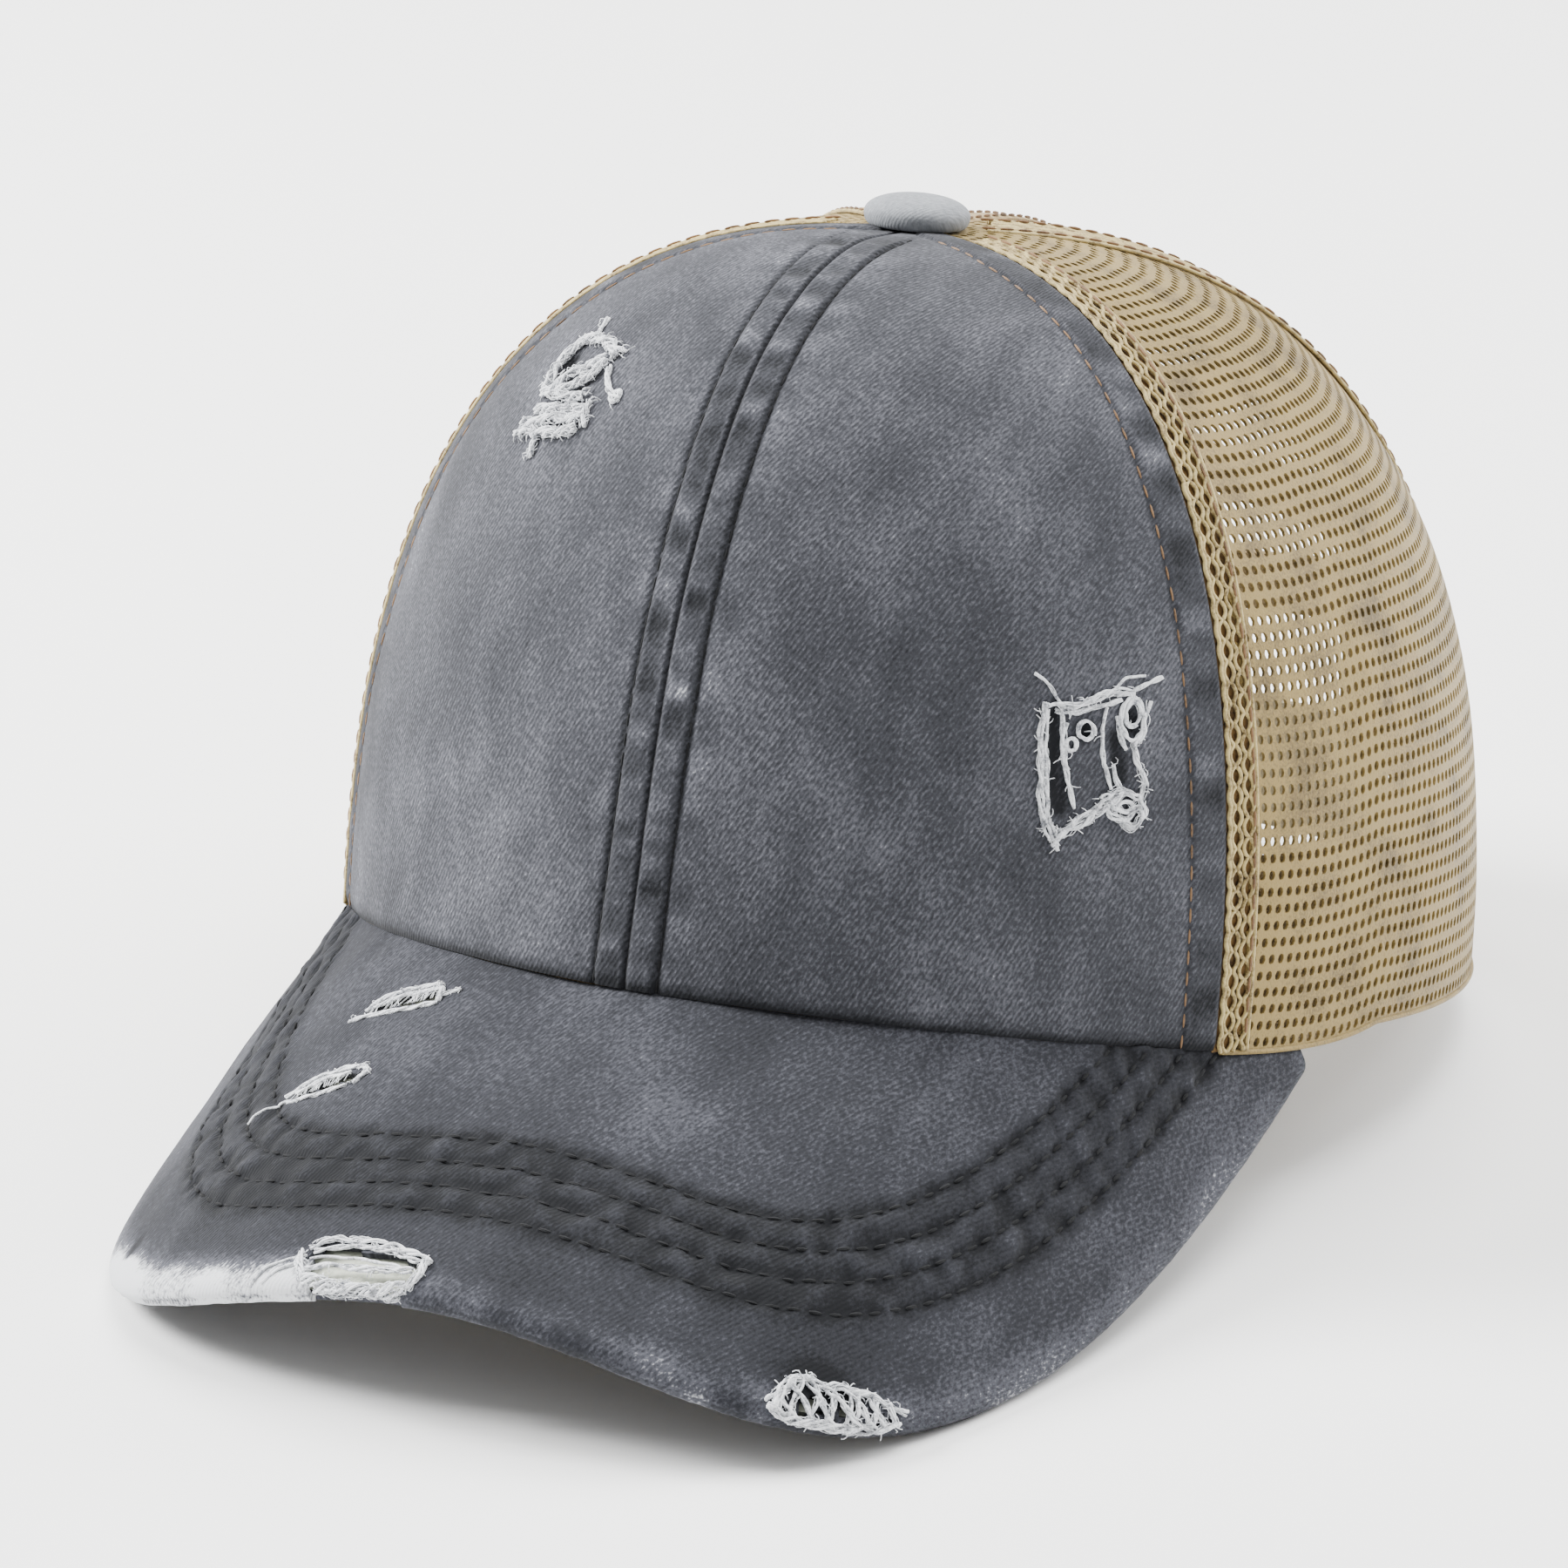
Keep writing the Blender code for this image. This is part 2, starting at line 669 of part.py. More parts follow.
def make_straps(collection, material):
    """The two halves of the hook-and-loop strap, one over the other at the middle."""
    centre_z = STRAP_LOW_Z + STRAP_WIDTH / 2
    far_right, far_left = band_spans(centre_z, 0.0)
    lap = STRAP_OVERLAP / 2

    def inside(x):
        share = max(0.0, (-x - lap) / (-far_right - lap))
        return (ELASTIC + GAP) * (1 - share)

    outer = make_band("strap_left", centre_z, 0.0, (-lap, far_left), STRAP_WIDTH, STRAP_BOW,
                      lambda x: 0.0, collection, material)
    inner = make_band("strap_right", centre_z, 0.0, (far_right, lap), STRAP_WIDTH, STRAP_BOW,
                      inside, collection, material)
    return [outer, inner]


# The sweatband and the button

def make_sweatband(collection, material):
    """The band inside the rim, from one side of the opening round the front to the other."""
    depth = TWILL_WALL + GAP
    edge = opening_half_width(SWEATBAND_HEIGHT) + BINDING_LEAF + TWILL_WALL
    end, _ = back_place(edge, SWEATBAND_HEIGHT)
    grid = []
    for r in range(SWEATBAND_ROWS + 1):
        row = []
        for k in range(SWEATBAND_COLUMNS + 1):
            phi = end * (2 * k / SWEATBAND_COLUMNS - 1)
            front = max(0.0, math.cos(phi)) ** 2
            base = rim_height(phi)
            bottom = base + GAP - (SWEATBAND_FRONT_DROP + GAP) * front
            z = bottom + (base + SWEATBAND_HEIGHT - bottom) * r / SWEATBAND_ROWS
            t = t_at_height(phi, z)
            point = crown_point(phi, t) - depth * crown_normal(phi, max(t, 0.01))
            point.z = z
            row.append(point)
        grid.append(row)
    obj = add_object("sweatband", grid_mesh("sweatband", grid), collection, material)
    add_wall(obj, SWEATBAND_WALL)
    return obj


def make_button(collection, material):
    """The covered button with its rivet, a profile turned about the crown's top."""
    steps = 7
    rim = GAP + BUTTON_HEIGHT / 5
    dome = []
    for k in range(steps + 1):
        turn = math.pi / 2 * k / steps
        dome.append((BUTTON_RADIUS * math.sin(turn), rim + (BUTTON_HEIGHT - rim) * math.cos(turn)))
    foot = -TWILL_WALL - 2 * GAP
    profile = dome + [(BUTTON_RADIUS, GAP), (RIVET_RADIUS, GAP), (RIVET_RADIUS, foot),
                      (RIVET_FOOT_RADIUS, foot), (RIVET_FOOT_RADIUS, foot - RIVET_FOOT_HEIGHT),
                      (0.0, foot - RIVET_FOOT_HEIGHT)]
    data = bpy.data.meshes.new("button")
    edges = [(k, k + 1) for k in range(len(profile) - 1)]
    data.from_pydata([(r, 0.0, z) for r, z in profile], edges, [])
    obj = add_object("button", data, collection, material)
    obj.location = (0.0, CROWN_TOP_Y, CROWN_HEIGHT)
    turn = obj.modifiers.new("turn", "SCREW")
    turn.steps = BUTTON_SIDES
    turn.render_steps = BUTTON_SIDES
    turn.use_merge_vertices = True
    turn.merge_threshold = 0.00001
    return obj


# Setting the cap down

def world_points(objects):
    """Every vertex of the finished pieces, in world space."""
    bpy.context.view_layer.update()
    graph = bpy.context.evaluated_depsgraph_get()
    points = []
    for obj in objects:
        finished = obj.evaluated_get(graph)
        data = finished.to_mesh()
        points += [tuple(finished.matrix_world @ vert.co) for vert in data.vertices]
        finished.to_mesh_clear()
    return np.array(points)


def rest_pitch(points):
    """Turn about X that sets the visor's low sides and the back of the rim on one level.

    Args:
        points: every vertex of the cap, in its own frame.

    Returns:
        The turn in radians.
    """
    front = points[points[:, 1] < -CROWN_FRONT / 2]
    rear = points[points[:, 1] > CROWN_BACK / 2]
    low, high = -math.pi / 6, 0.0
    for _ in range(50):
        turn = (low + high) / 2
        heights = [(part[:, 1] * math.sin(turn) + part[:, 2] * math.cos(turn)).min()
                   for part in (front, rear)]
        if heights[0] > heights[1]:
            low = turn
        else:
            high = turn
    return turn


def set_down(parts, cutters, collection):
    """Parent everything to one empty, and set that where the cap rests."""
    points = world_points(parts)
    turn = Matrix.Rotation(rest_pitch(points), 4, "X")
    turned = points @ np.array(turn.to_3x3()).T
    low, high = turned.min(axis=0), turned.max(axis=0)
    seat = bpy.data.objects.new("cap_at_rest", None)
    collection.objects.link(seat)
    seat.matrix_world = Matrix.Translation((0.0, -(low[1] + high[1]) / 2, -low[2])) @ turn
    for obj in parts + cutters:
        obj.parent = seat


def main():
    """Build the cap."""
    clear_scene()
    parts_in = make_collection("ponytail_cap")
    cutters_in = make_collection("cutters")
    look = {name: make_material(name) for name in FINISHES}

    rim_cutter = make_rim_cutter(cutters_in)
    opening_cutter = make_opening_cutter(cutters_in)
    seam_f, seam_b = math.radians(FRONT_SEAM), math.radians(BACK_SEAM)
    twill, net = look["grey_twill"], look["khaki_net"]
    spans = (
        ("front_panel_left", 0.0, seam_f, FRONT_COLUMNS, TWILL_WALL, twill, rim_cutter),
        ("front_panel_right", -seam_f, 0.0, FRONT_COLUMNS, TWILL_WALL, twill, rim_cutter),
        ("side_mesh_left", seam_f, seam_b, SIDE_COLUMNS, NET_WALL, net, rim_cutter),
        ("side_mesh_right", -seam_b, -seam_f, SIDE_COLUMNS, NET_WALL, net, rim_cutter),
        ("back_mesh_left", seam_b, math.pi, BACK_COLUMNS, NET_WALL, net, opening_cutter),
        ("back_mesh_right", -math.pi, -seam_b, BACK_COLUMNS, NET_WALL, net, opening_cutter),
    )
    parts = []
    for name, start, end, columns, wall, cloth, cutter in spans:
        gore = make_gore(name, start, end, columns, wall, parts_in, cloth)
        cut(gore, cutter)
        parts.append(gore)

    visor_top = make_visor_top("visor_top", parts_in, twill)
    rip_cutters = [make_rip_cutter(rip, cutters_in) for rip in VISOR_RIPS]
    for cutter in rip_cutters:
        cut(visor_top, cutter)
    board_depth = VISOR_CLOTH + GAP
    under_depth = board_depth + VISOR_BOARD + GAP
    parts += [
        visor_top,
        make_visor_layer("visor_board", board_depth, VISOR_BOARD, VISOR_ROLL_RADIUS, BOARD_ROWS,
                         parts_in, look["visor_board"]),
        make_visor_layer("visor_under", under_depth, VISOR_CLOTH, VISOR_ROLL_RADIUS, BOARD_ROWS,
                         parts_in, twill),
        make_button(parts_in, twill),
        make_sweatband(parts_in, look["tan_sweatband"]),
        make_binding(parts_in, look["khaki_tape"]),
    ]
    parts += make_bands(parts_in, look["khaki_elastic"])
    parts += make_straps(parts_in, look["loop_strap"])
    set_down(parts, [rim_cutter, opening_cutter] + rip_cutters, parts_in)


main()
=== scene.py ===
"""Dressed model of a worn ponytail baseball cap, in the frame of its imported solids.

Each piece is shaped in the cap's own frame: front -Y, wearer's left +X, Z up from the front of
the rim. REST then sets it down as the cap lies on a table. Angles round the crown run from the
front, heights along it from 0 at the rim to 1 at the top.
"""
import logging
import math
import random
from dataclasses import dataclass, field
from enum import Enum
from functools import partial
from typing import Callable, Iterable, Sequence

import bmesh
import bpy
import numpy as np
from mathutils import Matrix, Vector, noise
from mathutils.bvhtree import BVHTree


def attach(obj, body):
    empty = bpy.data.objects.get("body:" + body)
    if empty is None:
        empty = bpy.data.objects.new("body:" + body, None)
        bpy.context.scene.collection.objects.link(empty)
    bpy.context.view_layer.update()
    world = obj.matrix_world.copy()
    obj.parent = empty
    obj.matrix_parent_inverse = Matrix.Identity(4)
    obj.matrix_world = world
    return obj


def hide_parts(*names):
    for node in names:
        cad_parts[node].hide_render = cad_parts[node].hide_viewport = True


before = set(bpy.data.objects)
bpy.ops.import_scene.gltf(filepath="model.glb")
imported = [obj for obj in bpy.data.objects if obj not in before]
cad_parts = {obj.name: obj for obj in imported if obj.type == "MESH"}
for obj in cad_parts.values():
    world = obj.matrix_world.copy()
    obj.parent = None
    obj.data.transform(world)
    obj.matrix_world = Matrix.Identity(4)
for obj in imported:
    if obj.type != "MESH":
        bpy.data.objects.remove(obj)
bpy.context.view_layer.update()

LOG = logging.getLogger("cap")
MM = 0.001

# Millimetres of cloth that fill the cloth map from 0 to 1
CLOTH_UNIT = 100.0

# From the cap's own frame, rim level and z up, to the pose in which it rests on the ground
REST = Matrix.Translation((0.0, 0.035999, 0.023845)) @ Matrix.Rotation(math.radians(-10.0697), 4, "X")

# Scale of a wave texture whose bands are one unit apart
WAVE_UNIT = 0.314

# Start of the frayed threads' random draws
SEED = 7


class Side(Enum):
    """The wearer's left, at +X, and right."""

    LEFT = 1
    RIGHT = -1


class Weave(Enum):
    """How a narrow cloth is made."""

    PLAIN = "plain"
    RIBBED = "ribbed"
    LOOPED = "looped"


# Small helpers

def add_node(tree: bpy.types.NodeTree, kind: str, links: dict | None = None, **settings) -> bpy.types.Node:
    """Add a node to a tree.

    Args:
        tree: the tree that gets the node.
        kind: the node's type.
        links: for each input, by name or number, a socket to join, a node whose first output is
            joined, or a value to set.
        settings: the node's own properties.

    Returns:
        The new node.
    """
    node = tree.nodes.new(kind)
    for name, value in settings.items():
        setattr(node, name, value)
    for key, value in (links or {}).items():
        source = value.outputs[0] if isinstance(value, bpy.types.Node) else value
        if isinstance(source, bpy.types.NodeSocket):
            tree.links.new(source, node.inputs[key])
        else:
            node.inputs[key].default_value = source
    return node


def linear(code: str) -> tuple[float, float, float, float]:
    """Turn an sRGB hex colour to linear RGBA."""
    values = [int(code[k:k + 2], 16) / 255 for k in (1, 3, 5)]
    return (*[v / 12.92 if v <= 0.04045 else ((v + 0.055) / 1.055) ** 2.4 for v in values], 1.0)


def cloud(across: np.ndarray, up: np.ndarray, size: float, seed: float) -> np.ndarray:
    """Smooth noise from -1 to 1 over cloth coordinates.

    Args:
        across: first coordinate in millimetres.
        up: second coordinate in millimetres.
        size: size of the noise's features in millimetres.
        seed: picks the noise.

    Returns:
        An array of the coordinates' shape.
    """
    flat = [noise.noise(Vector((a / size, b / size, seed))) for a, b in zip(across.ravel(), up.ravel())]
    return np.array(flat).reshape(across.shape) * 1.6


def ramp(values: np.ndarray, zero_at: float, one_at: float) -> np.ndarray:
    """Smooth step between two values, in either direction."""
    share = np.clip((values - zero_at) / (one_at - zero_at), 0.0, 1.0)
    return share * share * (3 - 2 * share)


def line_dent(values: np.ndarray, centre: float, width: float) -> np.ndarray:
    """A bell of height one about a centre."""
    return np.exp(-((values - centre) / width) ** 2)


def evenly(points: Iterable[Sequence[float]], count: int) -> np.ndarray:
    """Resample a polyline at equal lengths.

    Args:
        points: the polyline's points.
        count: how many points to give.

    Returns:
        The new points.
    """
    line = np.array([tuple(point) for point in points], float)
    steps = np.linalg.norm(np.diff(line, axis=0), axis=1)
    along = np.concatenate(([0.0], np.cumsum(steps)))
    wanted = np.linspace(0.0, along[-1], count)
    return np.stack([np.interp(wanted, along, column) for column in line.T], axis=1)


def inside_polygon(x: np.ndarray, y: np.ndarray, polygon: Sequence[Sequence[float]]) -> np.ndarray:
    """Which points lie inside a flat polygon.

    Args:
        x: places across.
        y: places up.
        polygon: its corners in order.

    Returns:
        True where a point lies inside.
    """
    found = np.zeros(x.shape, bool)
    for (x0, y0), (x1, y1) in zip(polygon, list(polygon[1:]) + [polygon[0]]):
        crosses = (y0 > y) != (y1 > y)
        place = (x1 - x0) * (y - y0) / ((y1 - y0) if y1 != y0 else 1e-9) + x0
        found ^= crosses & (x < place)
    return found


def distance_to_line(x: np.ndarray, y: np.ndarray, line: np.ndarray) -> np.ndarray:
    """Distance of flat points from a polyline.

    Args:
        x: places across.
        y: places up.
        line: the polyline's points.

    Returns:
        Each point's least distance.
    """
    best = np.full(x.shape, 1e9)
    for a, b in zip(line, line[1:]):
        run = b - a
        share = np.clip(((x - a[0]) * run[0] + (y - a[1]) * run[1]) / max(run @ run, 1e-12), 0.0, 1.0)
        best = np.minimum(best, np.hypot(x - a[0] - share * run[0], y - a[1] - share * run[1]))
    return best


# The cap's form

@dataclass(frozen=True)
class CrownForm:
    """The crown's outer face, in metres."""

    front: float = 0.1031
    back: float = 0.0987
    half_width: float = 0.0843
    height: float = 0.1027
    top_y: float = -0.0191
    plan_power: float = 1.93
    rise_power: float = 2.55
    profile_front: float = 3.21
    profile_side: float = 2.34
    profile_back: float = 3.12
    lean_front: float = 0.12
    lean_side: float = -0.046
    lean_back: float = 0.143
    net_flatness: float = 0.031
    rear_dip: float = 0.0025
    front_seam: float = 59.2
    back_seam: float = 130.8
    level_rim_from: float = 80.0
    arch_radius: float = 0.0899
    slope: float = math.tan(math.radians(29.5))
    rivet_hole: float = 0.0038

    def blend(self, phi: float, front: float, side: float, back: float) -> float:
        """Blend a front, side and back value round the crown."""
        return side + ((front if math.cos(phi) > 0 else back) - side) * math.cos(phi) ** 2

    def rim_plan(self, phi: float) -> tuple[float, float]:
        """Plan of the rim at an angle.

        Args:
            phi: angle from the front, in radians.

        Returns:
            The point, in metres.
        """
        across, ahead = math.sin(phi), math.cos(phi)
        power = self.plan_power
        scale = (abs(across) ** power + abs(ahead) ** power) ** (-1 / power)
        return self.half_width * across * scale, -(self.front if ahead > 0 else self.back) * ahead * scale

    def visor_height(self, x: float, y: float) -> float:
        """Height of the visor's top face over a point in plan."""
        bend = math.asin(max(-1.0, min(1.0, x / self.arch_radius)))
        return self.slope * (y + self.front) - self.arch_radius * (1 - math.cos(bend))

    def rim_height(self, phi: float) -> float:
        """Height of the rim.

        Args:
            phi: angle from the front, in radians.

        Returns:
            Height in metres.
        """
        turn, level = abs(phi), math.radians(self.level_rim_from)
        if turn < level:
            return self.visor_height(*self.rim_plan(turn))
        share = (turn - level) / (math.pi - level)
        return self.visor_height(*self.rim_plan(level)) - self.rear_dip * math.sin(math.pi * share)

    def flatness(self, phi: float) -> float:
        """How far the net is drawn flat between its seams.

        Args:
            phi: angle from the front, in radians.

        Returns:
            0 at a seam, more between two.
        """
        turn, front, back = abs(phi), math.radians(self.front_seam), math.radians(self.back_seam)
        if turn <= front:
            return 0.0
        low, high = (front, back) if turn < back else (back, 2 * math.pi - back)
        share = (turn - low) / (high - low)
        return self.net_flatness * 4 * share * (1 - share)

    def point(self, phi: float, t: float) -> Vector:
        """A point of the outer face.

        Args:
            phi: angle from the front, in radians.
            t: 0 at the rim to 1 at the top.

        Returns:
            The point, in metres.
        """
        x, y = self.rim_plan(phi)
        base = self.rim_height(phi)
        rise = math.sin(t * math.pi / 2) ** (2 / self.rise_power)
        power = self.blend(phi, self.profile_front, self.profile_side, self.profile_back)
        reach = max(0.0, math.cos(t * math.pi / 2)) ** (2 / power)
        reach *= 1 - self.blend(phi, self.lean_front, self.lean_side, self.lean_back) * rise
        reach *= 1 - self.flatness(phi) * math.sin(math.pi * t)
        return Vector((x * reach, self.top_y * (1 - reach) + y * reach, base + (self.height - base) * rise))

    def normal(self, phi: float, t: float) -> Vector:
        """Outward normal at a point.

        Args:
            phi: angle from the front, in radians.
            t: 0 at the rim to 1 at the top.

        Returns:
            The unit normal.
        """
        small = 0.002
        low, high = max(0.001, t - small), min(0.98, t + small)
        up = self.point(phi, high) - self.point(phi, low)
        return (self.point(phi + small, t) - self.point(phi - small, t)).cross(up).normalized()

    def t_at(self, phi: float, z: float) -> float:
        """Where the crown reaches a height at an angle.

        Args:
            phi: angle from the front, in radians.
            z: height in metres.

        Returns:
            t, 0 at the rim to 1 at the top.
        """
        base = self.rim_height(phi)
        rise = max(0.0, (z - base) / (self.height - base))
        return 2 / math.pi * math.asin(min(1.0, rise ** (self.rise_power / 2)))

    def at(self, degrees: float, z_mm: float) -> Vector:
        """A point of the outer face at an angle in degrees and a height in millimetres."""
        phi = math.radians(degrees)
        return self.point(phi, self.t_at(phi, z_mm * MM))

    def line(self, phi: float, count: int, start: float = 0.0) -> np.ndarray:
        """Points up the crown, evenly spaced from near the rim to the button.

        Args:
            phi: the angle.
            count: how many points.
            start: length above the rim where the line begins, in metres.

        Returns:
            An array of points.
        """
        fine = 160
        points = [self.point(phi, 1 - (1 - k / fine) ** 1.6) for k in range(fine)]
        kept = np.array([p for p in points if math.hypot(p.x, p.y - self.top_y) > self.rivet_hole])
        along = np.concatenate(([0.0], np.cumsum(np.linalg.norm(np.diff(kept, axis=0), axis=1))))
        wanted = np.linspace(start, along[-1], count)
        return np.stack([np.interp(wanted, along, column) for column in kept.T], axis=1)

    def back_place(self, x: float, z: float) -> tuple[float, float]:
        """Angle and t of the surface behind, at a given x and z.

        Args:
            x: place across, in metres.
            z: height in metres.

        Returns:
            Angle and t.
        """
        low, high = math.pi / 2, math.pi
        for _ in range(26):
            phi = (low + high) / 2
            t = self.t_at(phi, z)
            if self.point(phi, t).x > abs(x):
                low = phi
            else:
                high = phi
        return math.copysign(phi, x), t

    def back_point(self, x: float, z: float, depth: float) -> tuple[Vector, Vector]:
        """A point some depth inside the surface behind, and the outward normal there.

        Args:
            x: place across, in metres.
            z: height in metres.
            depth: how far inside, in metres.

        Returns:
            The point and the normal.
        """
        phi, t = self.back_place(x, z)
        normal = self.normal(phi, t)
        return self.point(phi, t) - depth * normal, normal

    def ring_on_back(self, point: Vector, side: Vector, depth: float,
                     section: Sequence[tuple[float, float]]) -> list[Vector]:
        """Lay a section on the back of the crown, so that it curves with the surface.

        Args:
            point: a point of the outer face.
            side: direction in the surface that the section's first distance follows.
            depth: how far inside the surface the section lies.
            section: pairs of a distance along side and a height.

        Returns:
            The ring of points.
        """
        ring = []
        for along, height in section:
            place = point + side * along
            ring.append(self.back_point(place.x, place.z, depth - height)[0])
        return ring


@dataclass(frozen=True)
class VisorForm:
    """The visor's top face, cut flat and bent, with flat coordinates u across and y along the cap."""

    crown: CrownForm = CrownForm()
    length: float = 0.0574
    half_width: float = 0.0989
    root_y: float = -0.0190
    side_power: float = 3.07
    front_power: float = 2.36
    least_width: float = 0.0022
    cloth: float = 0.0010
    board: float = 0.0016
    gap: float = 0.0003
    inset: float = 0.0014
    fine: int = 240

    @property
    def thickness(self) -> float:
        """Thickness of both cloths and the board."""
        return 2 * self.cloth + self.board + 2 * self.gap

    @property
    def roll(self) -> float:
        """Radius of the rolled edge."""
        return self.thickness / 2

    def normal(self, u: float) -> Vector:
        """Upward normal."""
        bend = u / self.crown.arch_radius
        return Vector((math.sin(bend), -self.crown.slope * math.cos(bend), math.cos(bend))).normalized()

    def point(self, u: float, y: float, depth: float) -> Vector:
        """A point of the bent visor, some depth below its top face."""
        x = self.crown.arch_radius * math.sin(u / self.crown.arch_radius)
        return Vector((x, y, self.crown.visor_height(x, y))) - depth * self.normal(u)

    def outline(self, share: float) -> tuple[float, float]:
        """Outermost edge, share running from -1 to 1.

        Args:
            share: -1 at one end to 1 at the other.

        Returns:
            The flat point, in metres.
        """
        turn = share * math.pi / 2
        across = abs(math.sin(turn)) ** (2 / self.side_power)
        ahead = max(0.0, math.cos(turn)) ** (2 / self.front_power)
        tip = -self.crown.front - self.length
        return math.copysign(self.half_width * across, turn), self.root_y + (tip - self.root_y) * ahead

    def under_crown(self, phi: float, depth: float) -> tuple[float, float]:
        """Flat point that lies under the crown's wall at an angle, at a given depth.

        Args:
            phi: angle from the front, in radians.
            depth: distance inside the crown's face, in metres.

        Returns:
            The flat point.
        """
        x, y = self.crown.rim_plan(phi)
        outward = Vector((x / self.crown.half_width ** 2, y / self.crown.front ** 2)).normalized()
        x -= self.inset * outward.x
        y -= self.inset * outward.y
        radius = self.crown.arch_radius
        u = radius * math.asin(x / radius)
        for _ in range(8):
            u = radius * math.asin((x + (depth * self.normal(u)).x) / radius)
        return u, y + (depth * self.normal(u)).y

    def crown_edge(self, depth: float, y_end: float) -> list[tuple[float, float]]:
        """Inner edge of a layer, from one end to the other.

        Args:
            depth: distance inside the crown's face, in metres.
            y_end: how far back the layer reaches.

        Returns:
            The edge's flat points.
        """
        widest = math.radians(self.crown.level_rim_from)
        line = [self.under_crown(widest * (2 * k / self.fine - 1), depth) for k in range(self.fine + 1)]
        return self.clip(line, y_end)

    def outer_edge(self, y_end: float, inset: float) -> list[tuple[float, float]]:
        """Outer edge of a layer, drawn in from the outline by an inset.

        Args:
            y_end: how far back the layer reaches.
            inset: distance from the outline, in metres.

        Returns:
            The edge's flat points.
        """
        line = [self.outline(2 * k / self.fine - 1) for k in range(self.fine + 1)]
        points = evenly(line, self.fine + 1)
        along = np.gradient(points, axis=0)
        outward = np.stack([along[:, 1], -along[:, 0]], axis=1)
        outward /= np.linalg.norm(outward, axis=1)[:, None]
        return self.clip([tuple(point) for point in points - inset * outward], y_end)

    def clip(self, line: list[tuple[float, float]], y_end: float) -> list[tuple[float, float]]:
        """Keep the part of a line in front of y_end, ending on y_end itself.

        Args:
            line: flat points from one end to the other.
            y_end: where to end it.

        Returns:
            The points kept.
        """
        inside = [k for k, point in enumerate(line) if point[1] < y_end]
        first, last = inside[0], inside[-1]
        kept = [tuple(line[k]) for k in range(first, last + 1)]
        for at, neighbour, place in ((first, first - 1, 0), (last, last + 1, len(kept) + 1)):
            a, b = line[at], line[neighbour]
            share = (y_end - a[1]) / (b[1] - a[1])
            kept.insert(place, (a[0] + (b[0] - a[0]) * share, y_end))
        return kept

    def layer_end(self, depth: float, edge_inset: float) -> float:
        """How far back a layer reaches before it is narrower than the least width.

        Args:
            depth: the inner edge's distance inside the crown's face.
            edge_inset: the outer edge's distance from the outline.

        Returns:
            The end's y, in metres.
        """
        y_end = self.root_y - 0.006
        while True:
            inner = self.crown_edge(depth, y_end)[-1]
            outer = self.outer_edge(y_end, edge_inset)[-1]
            if outer[0] - inner[0] > self.least_width:
                return y_end
            y_end -= 0.001

    def edges(self, depth: float, edge_inset: float, columns: int) -> tuple[np.ndarray, np.ndarray]:
        """Inner and outer edge of a layer, with as many points in each.

        Args:
            depth: the inner edge's distance inside the crown's face.
            edge_inset: the outer edge's distance from the outline.
            columns: steps along each edge.

        Returns:
            The inner and the outer edge.
        """
        y_end = self.layer_end(depth, edge_inset)
        return (evenly(self.crown_edge(depth, y_end), columns + 1),
                evenly(self.outer_edge(y_end, edge_inset), columns + 1))


@dataclass(frozen=True)
class OpeningForm:
    """The ponytail opening, seen from the back."""

    crown: CrownForm = CrownForm()
    rim_half: float = 0.0350
    half: float = 0.0420
    widest_z: float = 0.0520
    top_z: float = 0.0880
    arch_power: float = 2.4

    def half_width(self, z: float) -> float:
        """Half width at a height.

        Args:
            z: height in metres.

        Returns:
            Half width in metres.
        """
        if z > self.widest_z:
            rise = min(1.0, (z - self.widest_z) / (self.top_z - self.widest_z))
            return self.half * (1 - rise ** self.arch_power) ** (1 / self.arch_power)
        low = self.crown.rim_height(math.pi)
        return self.rim_half + (self.half - self.rim_half) * (z - low) / (self.widest_z - low)

    def outline(self, low_z: float, steps: int = 160) -> list[tuple[float, float]]:
        """The edge: up one side, over the arch and down the other.

        Args:
            low_z: height of its two ends.
            steps: along the arch.

        Returns:
            Points in x and z.
        """
        arch = []
        for k in range(steps + 1):
            turn = math.pi * k / steps
            across = math.copysign(abs(math.cos(turn)) ** (2 / self.arch_power), math.cos(turn))
            rise = abs(math.sin(turn)) ** (2 / self.arch_power)
            arch.append((self.half * across, self.widest_z + (self.top_z - self.widest_z) * rise))
        half = self.half_width(low_z)
        return [(half, low_z)] + arch + [(-half, low_z)]

    def edge_of_line(self, centre_z: float, rise: float, side: int) -> float:
        """Where a line across the opening meets its edge.

        Args:
            centre_z: the line's height at the middle.
            rise: its slope.
            side: 1 for +X, -1 for -X.

        Returns:
            The x where they meet.
        """
        x = self.half
        for _ in range(60):
            x = (x + self.half_width(centre_z + rise * side * x)) / 2
        return side * x


# Finishes

